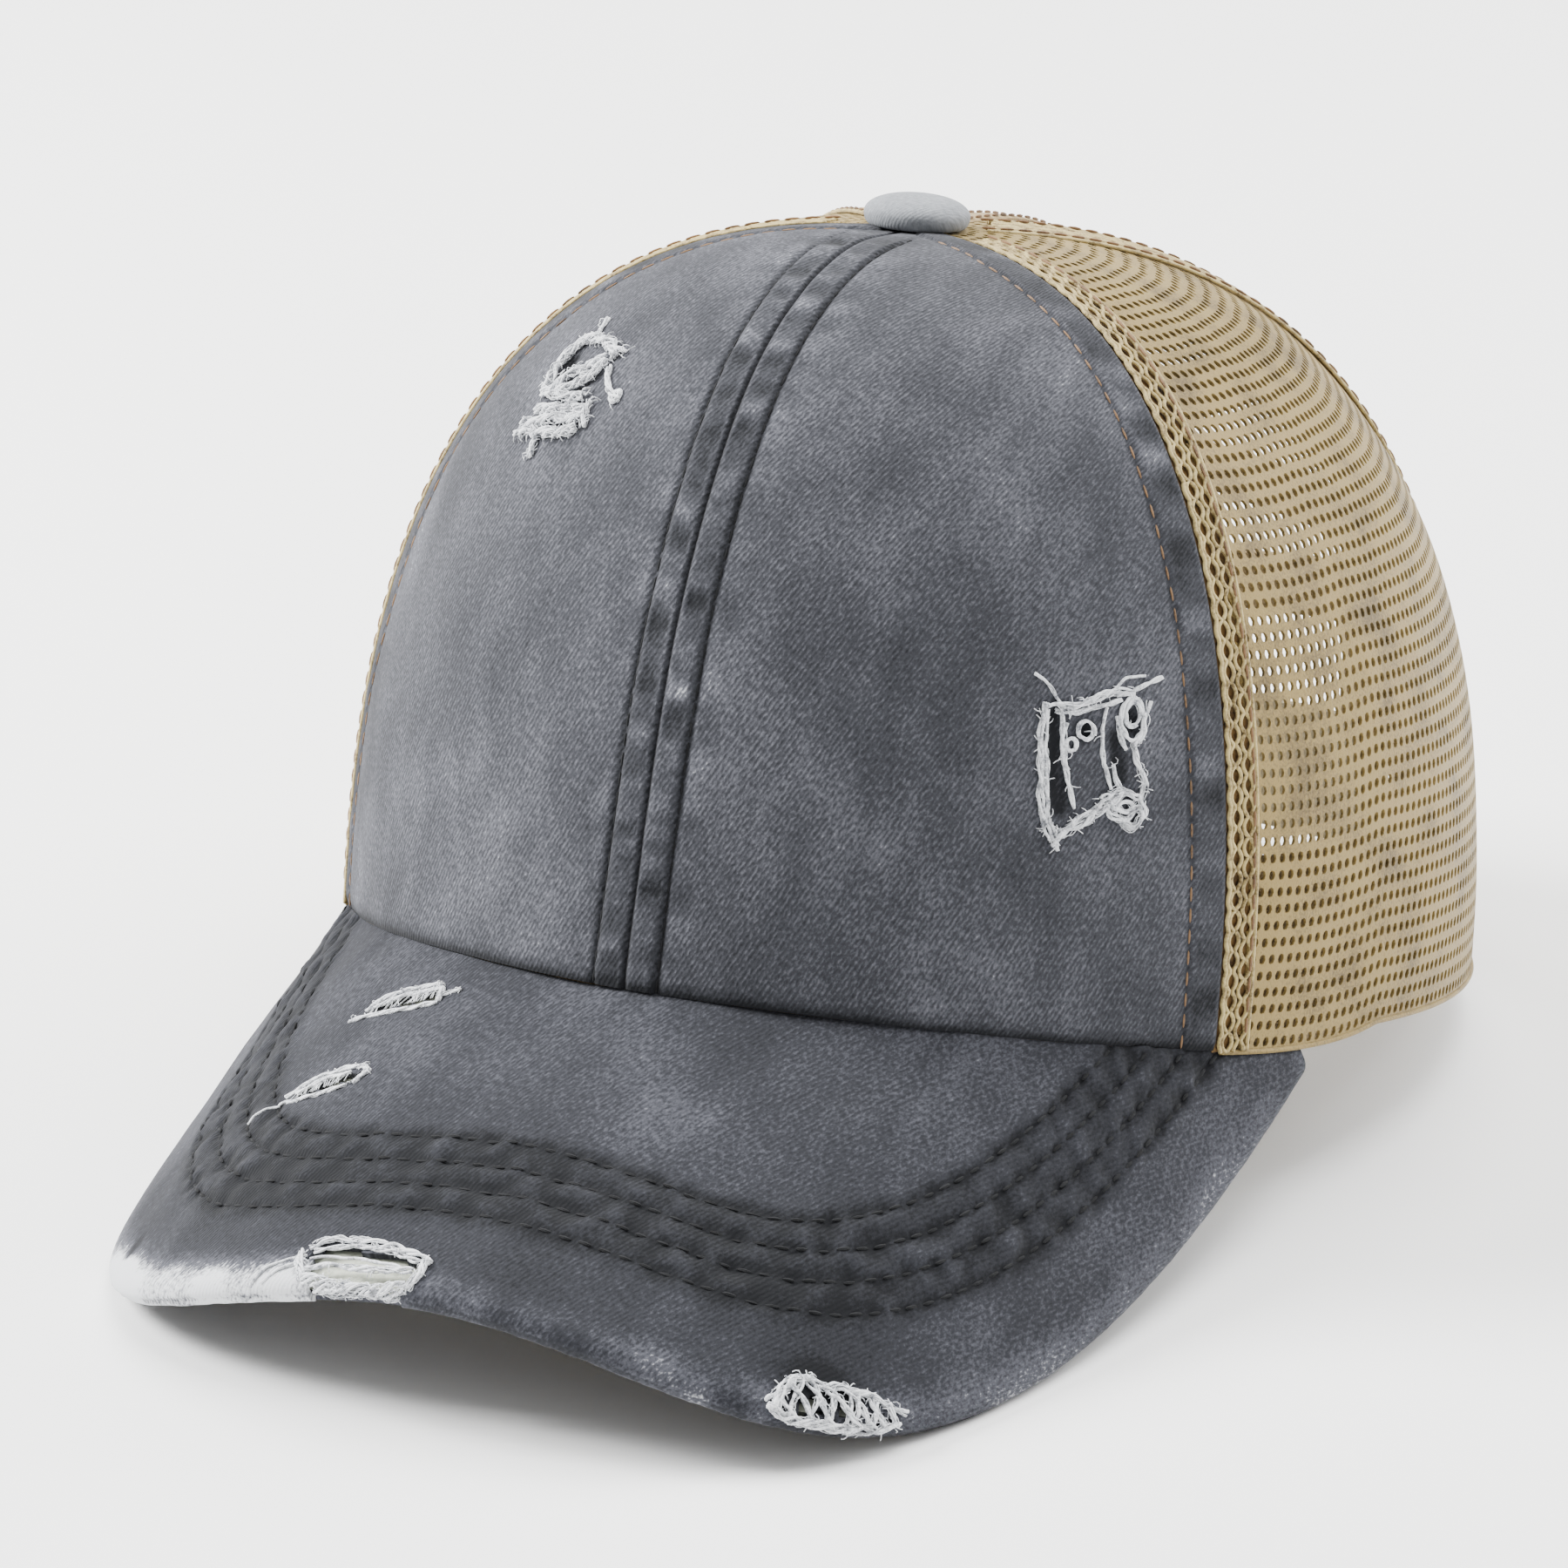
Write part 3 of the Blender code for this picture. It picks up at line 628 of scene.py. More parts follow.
def dress(material: bpy.types.Material, tone: bpy.types.Node, stops: Sequence[tuple[float, str]],
          height: bpy.types.NodeSocket | bpy.types.Node, bump: tuple[float, float],
          **even: float) -> bpy.types.Material:
    """Join a material's pattern to its shader, and set the shader's even values.

    Args:
        material: the material, with the pattern's nodes in it.
        tone: the node that gives the pattern's tone.
        stops: places along the tone, in order, each with its sRGB hex colour.
        height: the pattern's height.
        bump: strength and depth of its relief, the depth in millimetres.
        even: values for the shader's inputs, with a low line for each space in their names.

    Returns:
        The material.
    """
    tree = material.node_tree
    shader = tree.nodes["Principled BSDF"]
    colours = add_node(tree, "ShaderNodeValToRGB", {"Fac": tone})
    elements = colours.color_ramp.elements
    elements[0].position, elements[1].position = stops[0][0], stops[1][0]
    for place, _ in stops[2:]:
        elements.new(place)
    for element, (_, code) in zip(elements, stops):
        element.color = linear(code)
    relief = add_node(tree, "ShaderNodeBump", {"Height": height, "Strength": bump[0],
                                               "Distance": bump[1] * MM})
    tree.links.new(colours.outputs["Color"], shader.inputs["Base Color"])
    tree.links.new(relief.outputs["Normal"], shader.inputs["Normal"])
    for name, value in even.items():
        shader.inputs[name.replace("_", " ")].default_value = value
    return material


@dataclass(frozen=True)
class TwillFinish:
    """Washed cotton twill: matt, with diagonal ribs, a cloudy wash, pale worn ridges and painted shade, the
    last two read from one mesh attribute.

    Such a twill has ribs about 0.5 mm apart and slubs of 0.3 mm. On the panels and the visor both
    are drawn coarser, at rib_mm and fleck_mm, because finer ones don't show at the render's size.
    """

    name: str
    dark: str
    mid: str
    pale: str
    worn: str
    rib_mm: float = 0.68
    rib_angle: float = 28.0
    cloud_mm: float = 8.0
    fleck_mm: float = 0.55
    rib_weight: float = 0.12
    wash_weight: float = 0.38
    broad_weight: float = 0.42
    fleck_weight: float = 0.9
    wear_and_shade_weight: float = 0.40
    bump: float = 0.3
    bump_mm: float = 0.22

    def make(self) -> bpy.types.Material:
        """Build the material, whose pattern follows the cloth's own coordinates.

        Returns:
            The material.
        """
        material = bpy.data.materials.new(self.name)
        material.use_nodes = True
        add = partial(add_node, material.node_tree)
        cloth = add("ShaderNodeMapping", {"Vector": add("ShaderNodeUVMap", uv_map="cloth"),
                                          "Scale": (CLOTH_UNIT,) * 3})
        turned = add("ShaderNodeMapping", {"Vector": cloth,
                                           "Rotation": (0.0, 0.0, math.radians(self.rib_angle))})
        along_ribs = add("ShaderNodeMapping", {"Vector": turned, "Scale": (1.0, 0.6, 1.0)})
        drawn_out = add("ShaderNodeMapping", {"Vector": cloth, "Scale": (1.0, 0.55, 1.0)})
        rib = add("ShaderNodeTexWave", {"Vector": turned, "Scale": WAVE_UNIT / self.rib_mm, "Distortion": 2.6,
                                        "Detail": 2.0, "Detail Scale": 2.0},
                  wave_type="BANDS", bands_direction="X").outputs["Fac"]
        fleck = add("ShaderNodeTexNoise", {"Vector": along_ribs, "Scale": 1 / self.fleck_mm, "Detail": 3.0,
                                           "Roughness": 0.7}).outputs["Fac"]
        wash = add("ShaderNodeTexNoise", {"Vector": drawn_out, "Scale": 1 / self.cloud_mm, "Detail": 5.0,
                                          "Roughness": 0.62, "Distortion": 0.4}).outputs["Fac"]
        broad = add("ShaderNodeTexNoise", {"Vector": cloth, "Scale": 1 / (4 * self.cloud_mm)}).outputs["Fac"]
        # This attribute is above 0 where the cloth is worn pale and below 0 where it is darker, mostly
        # painted shade in seams, dents and slits
        wear_and_shade = add("ShaderNodeAttribute", attribute_name="wear_and_shade").outputs["Fac"]
        tone = 0.5
        for socket, weight, middle in ((wash, self.wash_weight, 0.5), (broad, self.broad_weight, 0.5),
                                       (fleck, self.fleck_weight, 0.5), (rib, self.rib_weight, 0.5),
                                       (wear_and_shade, self.wear_and_shade_weight, 0.0)):
            part = add("ShaderNodeMath", {0: socket, 1: weight, 2: -weight * middle},
                       operation="MULTIPLY_ADD")
            tone = add("ShaderNodeMath", {0: tone, 1: part}, operation="ADD")
        height = add("ShaderNodeMath", {0: rib, 1: 0.6, 2: fleck}, operation="MULTIPLY_ADD")
        stops = ((0.14, self.dark), (0.48, self.mid), (0.74, self.pale), (1.0, self.worn))
        return dress(material, tone, stops, height, (self.bump, self.bump_mm), Roughness=0.92,
                     Specular_IOR_Level=0.12, Sheen_Weight=0.06, Sheen_Roughness=0.5)


@dataclass(frozen=True)
class YarnFinish:
    """Loose yarn, thread or knitted filament: soft sheen and small changes of tone along it."""

    name: str
    dark: str
    pale: str
    roughness: float = 0.8
    sheen: float = 0.2
    grain_mm: float = 0.5
    patch_mm: float = 6.0
    bump: float = 0.4
    bump_mm: float = 0.2

    def make(self) -> bpy.types.Material:
        """Build the material on object coordinates.

        Returns:
            The material.
        """
        material = bpy.data.materials.new(self.name)
        material.use_nodes = True
        add = partial(add_node, material.node_tree)
        place = add("ShaderNodeTexCoord").outputs["Object"]
        grain = add("ShaderNodeTexNoise", {"Vector": place, "Scale": 1 / (self.grain_mm * MM), "Detail": 3.0,
                                           "Roughness": 0.6}).outputs["Fac"]
        patch = add("ShaderNodeTexNoise", {"Vector": place, "Scale": 1 / (self.patch_mm * MM),
                                           "Detail": 2.0}).outputs["Fac"]
        tone = add("ShaderNodeMath", {0: grain, 1: 0.9, 2: patch}, operation="MULTIPLY_ADD")
        return dress(material, tone, ((0.65, self.dark), (1.0, self.pale)), grain,
                     (self.bump, self.bump_mm), Roughness=self.roughness, Specular_IOR_Level=0.3,
                     Sheen_Weight=self.sheen)


@dataclass(frozen=True)
class WovenFinish:
    """A narrow woven cloth: tape, elastic or strap, with its threads in the cloth's own coordinates.

    Such threads are 0.2 to 0.4 mm wide. They are drawn coarser, at thread_mm, so that the weave
    shows at the render's size.
    """

    name: str
    dark: str
    pale: str
    weave: Weave = Weave.PLAIN
    thread_mm: float = 0.6
    roughness: float = 0.82
    bump: float = 0.6
    bump_mm: float = 0.2

    def make(self) -> bpy.types.Material:
        """Build the material: crossed threads, ribs along the cloth, or a napped face.

        Returns:
            The material.
        """
        material = bpy.data.materials.new(self.name)
        material.use_nodes = True
        add = partial(add_node, material.node_tree)
        cloth = add("ShaderNodeMapping", {"Vector": add("ShaderNodeUVMap", uv_map="cloth"),
                                          "Scale": (CLOTH_UNIT,) * 3})
        scale = WAVE_UNIT / self.thread_mm
        ribs = add("ShaderNodeTexWave", {"Vector": cloth, "Scale": scale, "Distortion": 0.6},
                   wave_type="BANDS", bands_direction="Y").outputs["Fac"]
        cross = add("ShaderNodeTexWave", {"Vector": cloth, "Scale": scale * 0.8, "Distortion": 0.8},
                    wave_type="BANDS", bands_direction="X").outputs["Fac"]
        nap = add("ShaderNodeTexVoronoi", {"Vector": cloth, "Scale": 1 / self.thread_mm}).outputs["Distance"]
        fleck = add("ShaderNodeTexNoise", {"Vector": cloth, "Scale": 1.3, "Detail": 4.0}).outputs["Fac"]
        parts = {Weave.PLAIN: (ribs, cross, 0.0), Weave.RIBBED: (cross, 0.3, ribs),
                 Weave.LOOPED: (nap, 0.8, 0.0)}[self.weave]
        height = add("ShaderNodeMath", dict(enumerate(parts)), operation="MULTIPLY_ADD")
        tone = add("ShaderNodeMath", {0: height, 1: 0.35, 2: fleck}, operation="MULTIPLY_ADD")
        return dress(material, tone, ((0.35, self.dark), (0.85, self.pale)), height,
                     (self.bump, self.bump_mm), Roughness=self.roughness, Specular_IOR_Level=0.3,
                     Sheen_Weight=0.15)


@dataclass(frozen=True)
class Finishes:
    """Every finish on the cap, each with what its cloth or thread gives the eye."""

    # Cotton twill, pigment dyed and stone washed: quite dull, cloudy in broad soft places, faint ribs
    twill: TwillFinish = TwillFinish("washed_grey_twill", "#1b1c1f", "#3a3b40", "#606168", "#dfe1e4")
    # The same twill over the visor: smoother, bleached white where the edge rubs, and darker than on the
    # crown, partly as painted shade
    visor_twill: TwillFinish = TwillFinish("washed_visor_twill_painted_shade", "#121316", "#2a2b30", "#4c4d54", "#c8cacd",
                                           rib_weight=0.05, wash_weight=0.32, bump=0.25)
    # The same twill pressed over a metal button: pale, even and nearly smooth
    button: TwillFinish = TwillFinish("button_twill", "#64676b", "#83868a", "#989b9f", "#c8c9cb",
                                      rib_mm=0.5, rib_weight=0.03, wash_weight=0.3, bump=0.2)
    # Knitted polyester net: warm khaki with a slight gloss on the flat ground between the holes
    net: YarnFinish = YarnFinish("khaki_knitted_net", "#574725", "#8b7643", 0.55, 0.1, 0.4, 9.0, 0.5)
    # The net's doubled edge, knotted by its stitches: pale loops with quick changes of tone
    fold: YarnFinish = YarnFinish("khaki_net_folded", "#584524", "#b3a06c", 0.6, 0.1, 0.45, 2.4, 0.7)
    # Woven polyester tape under the doubled edge: brown, painted dark so that it shows as the shade in the
    # holes between the loops
    fold_tape_painted_shade: YarnFinish = YarnFinish("brown_seam_tape_painted_shade", "#2d2010", "#6b5029", 0.7, 0.1, 0.6, 3.0, 0.6)
    # Undyed cotton yarn laid bare where the cloth is worn: almost white, fuzzy and quite dull, with blue-grey
    # flecks at random that are painted shade between the strands
    white_yarn_painted_shade: YarnFinish = YarnFinish("bleached_cotton_yarn_painted_shade", "#70737b", "#e3e5e8", 0.9, 0.3, 0.3, 1.4, 0.6)
    # Spun grey polyester thread sunk in the twill, painted near black so that its colour is the painted shade
    # in each stitch's dent
    grey_thread_painted_shade: YarnFinish = YarnFinish("grey_sewing_thread_painted_shade", "#070708", "#17181a", 0.9, 0.0)
    # Spun polyester thread on the hems: a thin brown line with a little shine
    brown_thread: YarnFinish = YarnFinish("brown_sewing_thread", "#4a3826", "#7b5d3e", 0.6, 0.1)
    # Spun polyester thread on the tan tapes: only a shade off the cloth
    tan_thread: YarnFinish = YarnFinish("tan_sewing_thread", "#7c6a4a", "#ab9870", 0.6, 0.1)
    # Plain woven cotton of the sweatband: even, soft and dull
    sweatband: WovenFinish = WovenFinish("tan_sweatband_cloth", "#85714f", "#ab956f", Weave.PLAIN, 0.5)
    # Woven polyester tape folded round the opening: fine ribs along its length
    tape: WovenFinish = WovenFinish("khaki_binding_tape", "#776443", "#a18a60", Weave.RIBBED, 0.6)
    # Woven elastic: plump ribs along its length that catch the light
    elastic: WovenFinish = WovenFinish("khaki_elastic", "#7c6a48", "#a8926a", Weave.RIBBED, 0.9)
    # Napped nylon loop strap: a pale, short pile with no shine
    strap: WovenFinish = WovenFinish("napped_strap", "#96896a", "#bdb294", Weave.LOOPED, 0.7, 0.9)
    # Pressed fibre board in the visor: pale grey-green and dull, with short darker fibres
    board: YarnFinish = YarnFinish("pressed_fibre_board", "#8f9387", "#b9bcae", 0.85, 0.0, 0.8, 12.0, 0.3)


# Making pieces

@dataclass
class Sheet:
    """A grid of surface points with its cloth coordinates in millimetres, and one tone that says where it is
    worn pale and where shade is painted in.
    """

    points: np.ndarray
    across: np.ndarray
    up: np.ndarray
    wear_and_shade: np.ndarray

    @classmethod
    def measured(cls, points: np.ndarray) -> "Sheet":
        """Measure a grid along its rows and columns.

        Args:
            points: the grid, (rows, columns, 3), in metres.

        Returns:
            The sheet, not yet worn and with no painted shade.
        """
        rows, columns = points.shape[:2]
        step = np.linalg.norm(np.diff(points, axis=1), axis=2)
        rise = np.linalg.norm(np.diff(points, axis=0), axis=2)
        across = np.concatenate([np.zeros((rows, 1)), np.cumsum(step, axis=1)], axis=1) / MM
        up = np.concatenate([np.zeros((1, columns)), np.cumsum(rise, axis=0)], axis=0) / MM
        return cls(points, across, up, np.zeros((rows, columns)))

    def normals(self) -> np.ndarray:
        """Normals of the grid: its row direction crossed with its column direction."""
        normal = np.cross(np.gradient(self.points, axis=1), np.gradient(self.points, axis=0))
        return normal / np.maximum(np.linalg.norm(normal, axis=2), 1e-12)[:, :, None]

    def raise_by(self, height: np.ndarray) -> "Sheet":
        """Move each point along its normal by a height in millimetres."""
        self.points = self.points + self.normals() * (height * MM)[:, :, None]
        return self

    def build(self, name: str, open_faces: np.ndarray | None = None) -> bpy.types.Object:
        """Turn the grid into an object with its cloth map, and its tone of worn places and painted shade as
        an attribute.

        Args:
            name: the object's name.
            open_faces: which faces of the grid to leave out.

        Returns:
            The new object, an open surface.
        """
        rows, columns = self.points.shape[:2]
        index = np.arange(rows * columns).reshape(rows, columns)
        quads = np.stack([index[:-1, :-1], index[:-1, 1:], index[1:, 1:], index[1:, :-1]], axis=2)
        kept = quads.reshape(-1, 4) if open_faces is None else quads[~open_faces]
        used, faces = np.unique(kept, return_inverse=True)
        data = bpy.data.meshes.new(name)
        data.from_pydata(self.points.reshape(-1, 3)[used].tolist(), [], faces.reshape(-1, 4).tolist())
        wear_and_shade = data.attributes.new("wear_and_shade", "FLOAT", "POINT")
        wear_and_shade.data.foreach_set("value", self.wear_and_shade.ravel()[used].astype(np.float32))
        flat = np.stack([self.across.ravel()[used], self.up.ravel()[used]], axis=1) / CLOTH_UNIT
        corners = np.zeros(len(data.loops), np.int32)
        data.loops.foreach_get("vertex_index", corners)
        data.uv_layers.new(name="cloth").data.foreach_set("uv", flat[corners].astype(np.float32).ravel())
        return linked(name, data)


def linked(name: str, data: bpy.types.Mesh) -> bpy.types.Object:
    """Put a mesh in the scene as an object.

    Args:
        name: the object's name.
        data: its mesh.

    Returns:
        The object.
    """
    obj = bpy.data.objects.new(name, data)
    bpy.context.scene.collection.objects.link(obj)
    return obj


def settle(obj: bpy.types.Object) -> bpy.types.Object:
    """Turn an object's modifiers into a plain mesh.

    Args:
        obj: the object.

    Returns:
        The same object.
    """
    bpy.context.view_layer.update()
    graph = bpy.context.evaluated_depsgraph_get()
    data = bpy.data.meshes.new_from_object(obj.evaluated_get(graph), depsgraph=graph)
    obj.modifiers.clear()
    old = obj.data
    obj.data = data
    data.name = obj.name
    bpy.data.meshes.remove(old)
    return obj


def thicken(obj: bpy.types.Object, wall: float) -> bpy.types.Object:
    """Give an open surface its wall, inward from its outer face.

    Args:
        obj: the open surface.
        wall: its wall in metres.

    Returns:
        The same object, closed.
    """
    solid = obj.modifiers.new("wall", "SOLIDIFY")
    solid.thickness = wall
    solid.offset = -1.0
    return settle(obj)


def finish_piece(obj: bpy.types.Object, nodes: Sequence[str] = (),
                 material: bpy.types.Material | None = None, sharp: float = 50.0) -> bpy.types.Object:
    """Set a piece down with the cap, shade it and tell the frame about it.

    Args:
        obj: the piece, in the cap's own frame.
        nodes: the solids that it stands for.
        material: its finish, unless its tree has set one.
        sharp: edges turned by more than this many degrees stay sharp.

    Returns:
        The piece.
    """
    obj.data.transform(REST)
    if material is not None:
        obj.data.materials.clear()
        obj.data.materials.append(material)
    obj.data.shade_smooth()
    obj.data.set_sharp_from_angle(angle=math.radians(sharp))
    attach(obj, "root")
    if nodes:
        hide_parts(*nodes)
    LOG.info("%s: %d faces", obj.name, len(obj.data.polygons))
    return obj


def skin(name: str, rings: list[list[Vector]]) -> bpy.types.Object:
    """Join closed rings into one solid, with cloth coordinates along and round it.

    Args:
        name: the object's name.
        rings: lists of points, all of one length and in one order.

    Returns:
        The new object.
    """
    grid = np.array([[tuple(point) for point in ring] for ring in rings])
    count, sides = grid.shape[:2]
    around = np.linalg.norm(grid - np.roll(grid, -1, axis=1), axis=2).mean(axis=0)
    girth = np.concatenate(([0.0], np.cumsum(around))) / MM
    middle = grid.mean(axis=1)
    along = np.concatenate(([0.0], np.cumsum(np.linalg.norm(np.diff(middle, axis=0), axis=1)))) / MM
    shape = bmesh.new()
    layer = shape.loops.layers.uv.new("cloth")
    verts = [[shape.verts.new(point) for point in ring] for ring in grid.tolist()]
    for r in range(count - 1):
        for k in range(sides):
            following = (k + 1) % sides
            face = shape.faces.new((verts[r][k], verts[r][following], verts[r + 1][following],
                                    verts[r + 1][k]))
            places = ((r, k), (r, k + 1), (r + 1, k + 1), (r + 1, k))
            for corner, (row, turn) in zip(face.loops, places):
                corner[layer].uv = (along[row] / CLOTH_UNIT, girth[turn] / CLOTH_UNIT)
    shape.faces.new(verts[0])
    shape.faces.new(verts[-1])
    bmesh.ops.recalc_face_normals(shape, faces=shape.faces[:])
    data = bpy.data.meshes.new(name)
    shape.to_mesh(data)
    shape.free()
    return linked(name, data)


class Ground:
    """A finished surface that stitches and loose threads are laid on."""

    def __init__(self, objects: Sequence[bpy.types.Object]) -> None:
        """Take the surface from objects still in the cap's own frame.

        Args:
            objects: the objects to lay things on.
        """
        verts: list[Vector] = []
        faces: list[list[int]] = []
        for obj in objects:
            start = len(verts)
            verts += [vert.co.copy() for vert in obj.data.vertices]
            faces += [[start + k for k in face.vertices] for face in obj.data.polygons]
        self.tree = BVHTree.FromPolygons(verts, faces)

    def lay(self, point: Vector, height_mm: float, outward: Vector | None = None) -> tuple[Vector, Vector]:
        """Bring a point to a height above the surface.

        Args:
            point: a point near the surface.
            height_mm: the height in millimetres.
            outward: direction that is taken as outward where the surface is double.

        Returns:
            The point and the normal there.
        """
        if outward is not None:
            place, normal, _, _ = self.tree.ray_cast(point + outward * 0.006, -outward, 0.012)
        else:
            place, normal, _, _ = self.tree.find_nearest(point)
        if place is None:
            place, normal = point, outward or Vector((0, 0, 1))
        return place + normal * (height_mm * MM), normal


# Trees for what repeats

class Tree:
    """A geometry tree with named inputs, used as a modifier."""

    kinds = {float: "NodeSocketFloat", int: "NodeSocketInt", bpy.types.Material: "NodeSocketMaterial"}

    def __init__(self, name: str, inputs: dict[str, type]) -> None:
        """Start a tree whose first input is the geometry.

        Args:
            name: the tree's name.
            inputs: each further input's name and type.
        """
        self.group = bpy.data.node_groups.new(name, "GeometryNodeTree")
        face = self.group.interface
        face.new_socket("Geometry", in_out="OUTPUT", socket_type="NodeSocketGeometry")
        face.new_socket("Geometry", in_out="INPUT", socket_type="NodeSocketGeometry")
        for label, kind in {**inputs, "Finish": bpy.types.Material}.items():
            face.new_socket(label, in_out="INPUT", socket_type=self.kinds[kind])
        self.add = partial(add_node, self.group)
        self.inputs = self.add("NodeGroupInput").outputs

    def close(self, geometry: bpy.types.Node) -> None:
        """End the tree by realising instances and setting the finish.

        Args:
            geometry: the node that gives the finished geometry.
        """
        real = self.add("GeometryNodeRealizeInstances", {0: geometry})
        self.add("NodeGroupOutput", {0: self.add("GeometryNodeSetMaterial", {
            "Geometry": real, "Material": self.inputs["Finish"]})})

    def apply(self, obj: bpy.types.Object, values: dict) -> bpy.types.Object:
        """Run the tree on an object and keep the result as its mesh.

        Args:
            obj: what the tree starts from.
            values: a value for each named input.

        Returns:
            The object with its new mesh.
        """
        modifier = obj.modifiers.new(self.group.name, "NODES")
        modifier.node_group = self.group
        for item in self.group.interface.items_tree:
            if item.in_out == "INPUT" and item.name in values:
                modifier[item.identifier] = values[item.name]
        return settle(obj)


class NetTree(Tree):
    """Knitted net: a lattice of oval holes, wrapped over a surface by its cloth map.

    Each hole has a square cell of the grid. The points round the cell's middle go out to the oval,
    those inside them are deleted, and the cell's own corners and sides stay on the lattice.
    """

    steps = 4

    def __init__(self) -> None:
        """Build the tree."""
        super().__init__("knitted_net", {
            "Columns": int, "Rows": int, "Pitch Across": float, "Pitch Up": float, "Lean": float,
            "Hole Width": float, "Hole Height": float, "Tilt": float, "First Row": float})
        given, add, steps = self.inputs, self.add, float(self.steps)
        number, flat, split, join = ("ShaderNodeMath", "ShaderNodeVectorMath", "ShaderNodeSeparateXYZ",
                                     "ShaderNodeCombineXYZ")
        cells = add(join, {0: given["Columns"], 1: given["Rows"]})
        size = add(flat, {0: cells, "Scale": steps}, operation="SCALE")
        faces = add(split, {0: size}).outputs
        points = add(split, {0: add(flat, {0: size, 1: (1.0, 1.0, 0.0)}, operation="ADD")}).outputs
        grid = add("GeometryNodeMeshGrid", {"Size X": faces[0], "Size Y": faces[1],
                                            "Vertices X": points[0], "Vertices Y": points[1]})

        # Each point's place in cells, the middle of its cell and the way from there
        moved = add(flat, {0: size, 1: (0.5, 0.5, 0.0), 2: add("GeometryNodeInputPosition")},
                    operation="MULTIPLY_ADD")
        step = add(flat, {0: add(flat, {0: moved, 1: (0.5, 0.5, 0.0)}, operation="ADD")}, operation="FLOOR")
        place = add(flat, {0: step, "Scale": 1 / steps}, operation="SCALE")
        cell = add(flat, {0: add(flat, {0: place, 1: (0.5 / steps,) * 3}, operation="ADD")},
                   operation="FLOOR")
        middle = add(flat, {0: cell, 1: (0.5, 0.5, 0.0)}, operation="ADD")
        inward = add(flat, {0: middle, 1: place}, operation="SUBTRACT")
        away = add(flat, {0: place, 1: middle}, operation="SUBTRACT")
        far = add(split, {0: add(flat, {0: away}, operation="ABSOLUTE")}).outputs
        reach = add(number, {0: far[0], 1: far[1]}, operation="MAXIMUM")
        on_hole = add(number, {0: reach, 1: 0.5 - 0.5 / steps}, operation="LESS_THAN")
        in_hole = add(number, {0: reach, 1: 0.5 - 1.5 / steps}, operation="LESS_THAN")

        # The oval, and the lattice that leans
        way = add(split, {0: away}).outputs
        turn = add(number, {0: way[1], 1: way[0]}, operation="ARCTAN2")
        circle = add(join, {0: add(number, {0: turn}, operation="COSINE"),
                            1: add(number, {0: turn}, operation="SINE")})
        widths = add(join, {0: given["Hole Width"], 1: given["Hole Height"]})
        oval = add(flat, {0: add(flat, {0: circle, 1: widths}, operation="MULTIPLY"), "Scale": 0.5},
                   operation="SCALE")
        spot = add(flat, {0: inward, 1: on_hole, 2: place}, operation="MULTIPLY_ADD")
        slanted = []
        for shape, slant in ((spot, given["Lean"]), (oval, given["Tilt"])):
            parts = add(split, {0: shape}).outputs
            across = add(number, {0: parts[1], 1: slant, 2: parts[0]}, operation="MULTIPLY_ADD")
            slanted.append(add(join, {0: across, 1: parts[1]}))
        half = add(flat, {0: cells, 1: (0.5, 0.0, 0.0)}, operation="MULTIPLY")
        centred = add(flat, {0: slanted[0], 1: half}, operation="SUBTRACT")
        pitch = add(join, {0: given["Pitch Across"], 1: given["Pitch Up"]})
        lattice = add(flat, {0: centred, 1: pitch, 2: add(join, {1: given["First Row"]})},
                      operation="MULTIPLY_ADD")
        drawn = add(flat, {0: slanted[1], 1: on_hole, 2: lattice}, operation="MULTIPLY_ADD")
        cloth = add(flat, {0: drawn, "Scale": 1 / CLOTH_UNIT}, operation="SCALE")

        # From the cloth map to the surface, without the holes and what lies off the cloth
        source = add("GeometryNodeInputNamedAttribute", {"Name": "cloth"}, data_type="FLOAT_VECTOR")
        found = add("GeometryNodeSampleUVSurface", {
            "Mesh": given["Geometry"], "Value": add("GeometryNodeInputPosition"), "Source UV Map": source,
            "Sample UV": cloth}, data_type="FLOAT_VECTOR")
        off_cloth = add(number, {0: 1.0, 1: found.outputs["Is Valid"]}, operation="SUBTRACT")
        unwanted = add(number, {0: in_hole, 1: off_cloth}, operation="MAXIMUM")
        kept = add("GeometryNodeStoreNamedAttribute", {
            "Geometry": grid, "Name": "place", "Value": found.outputs["Value"]},
            data_type="FLOAT_VECTOR", domain="POINT")
        cut = add("GeometryNodeDeleteGeometry", {"Geometry": kept, "Selection": unwanted}, domain="POINT")
        target = add("GeometryNodeInputNamedAttribute", {"Name": "place"}, data_type="FLOAT_VECTOR")
        self.close(add("GeometryNodeSetPosition", {"Geometry": cut, "Position": target}))


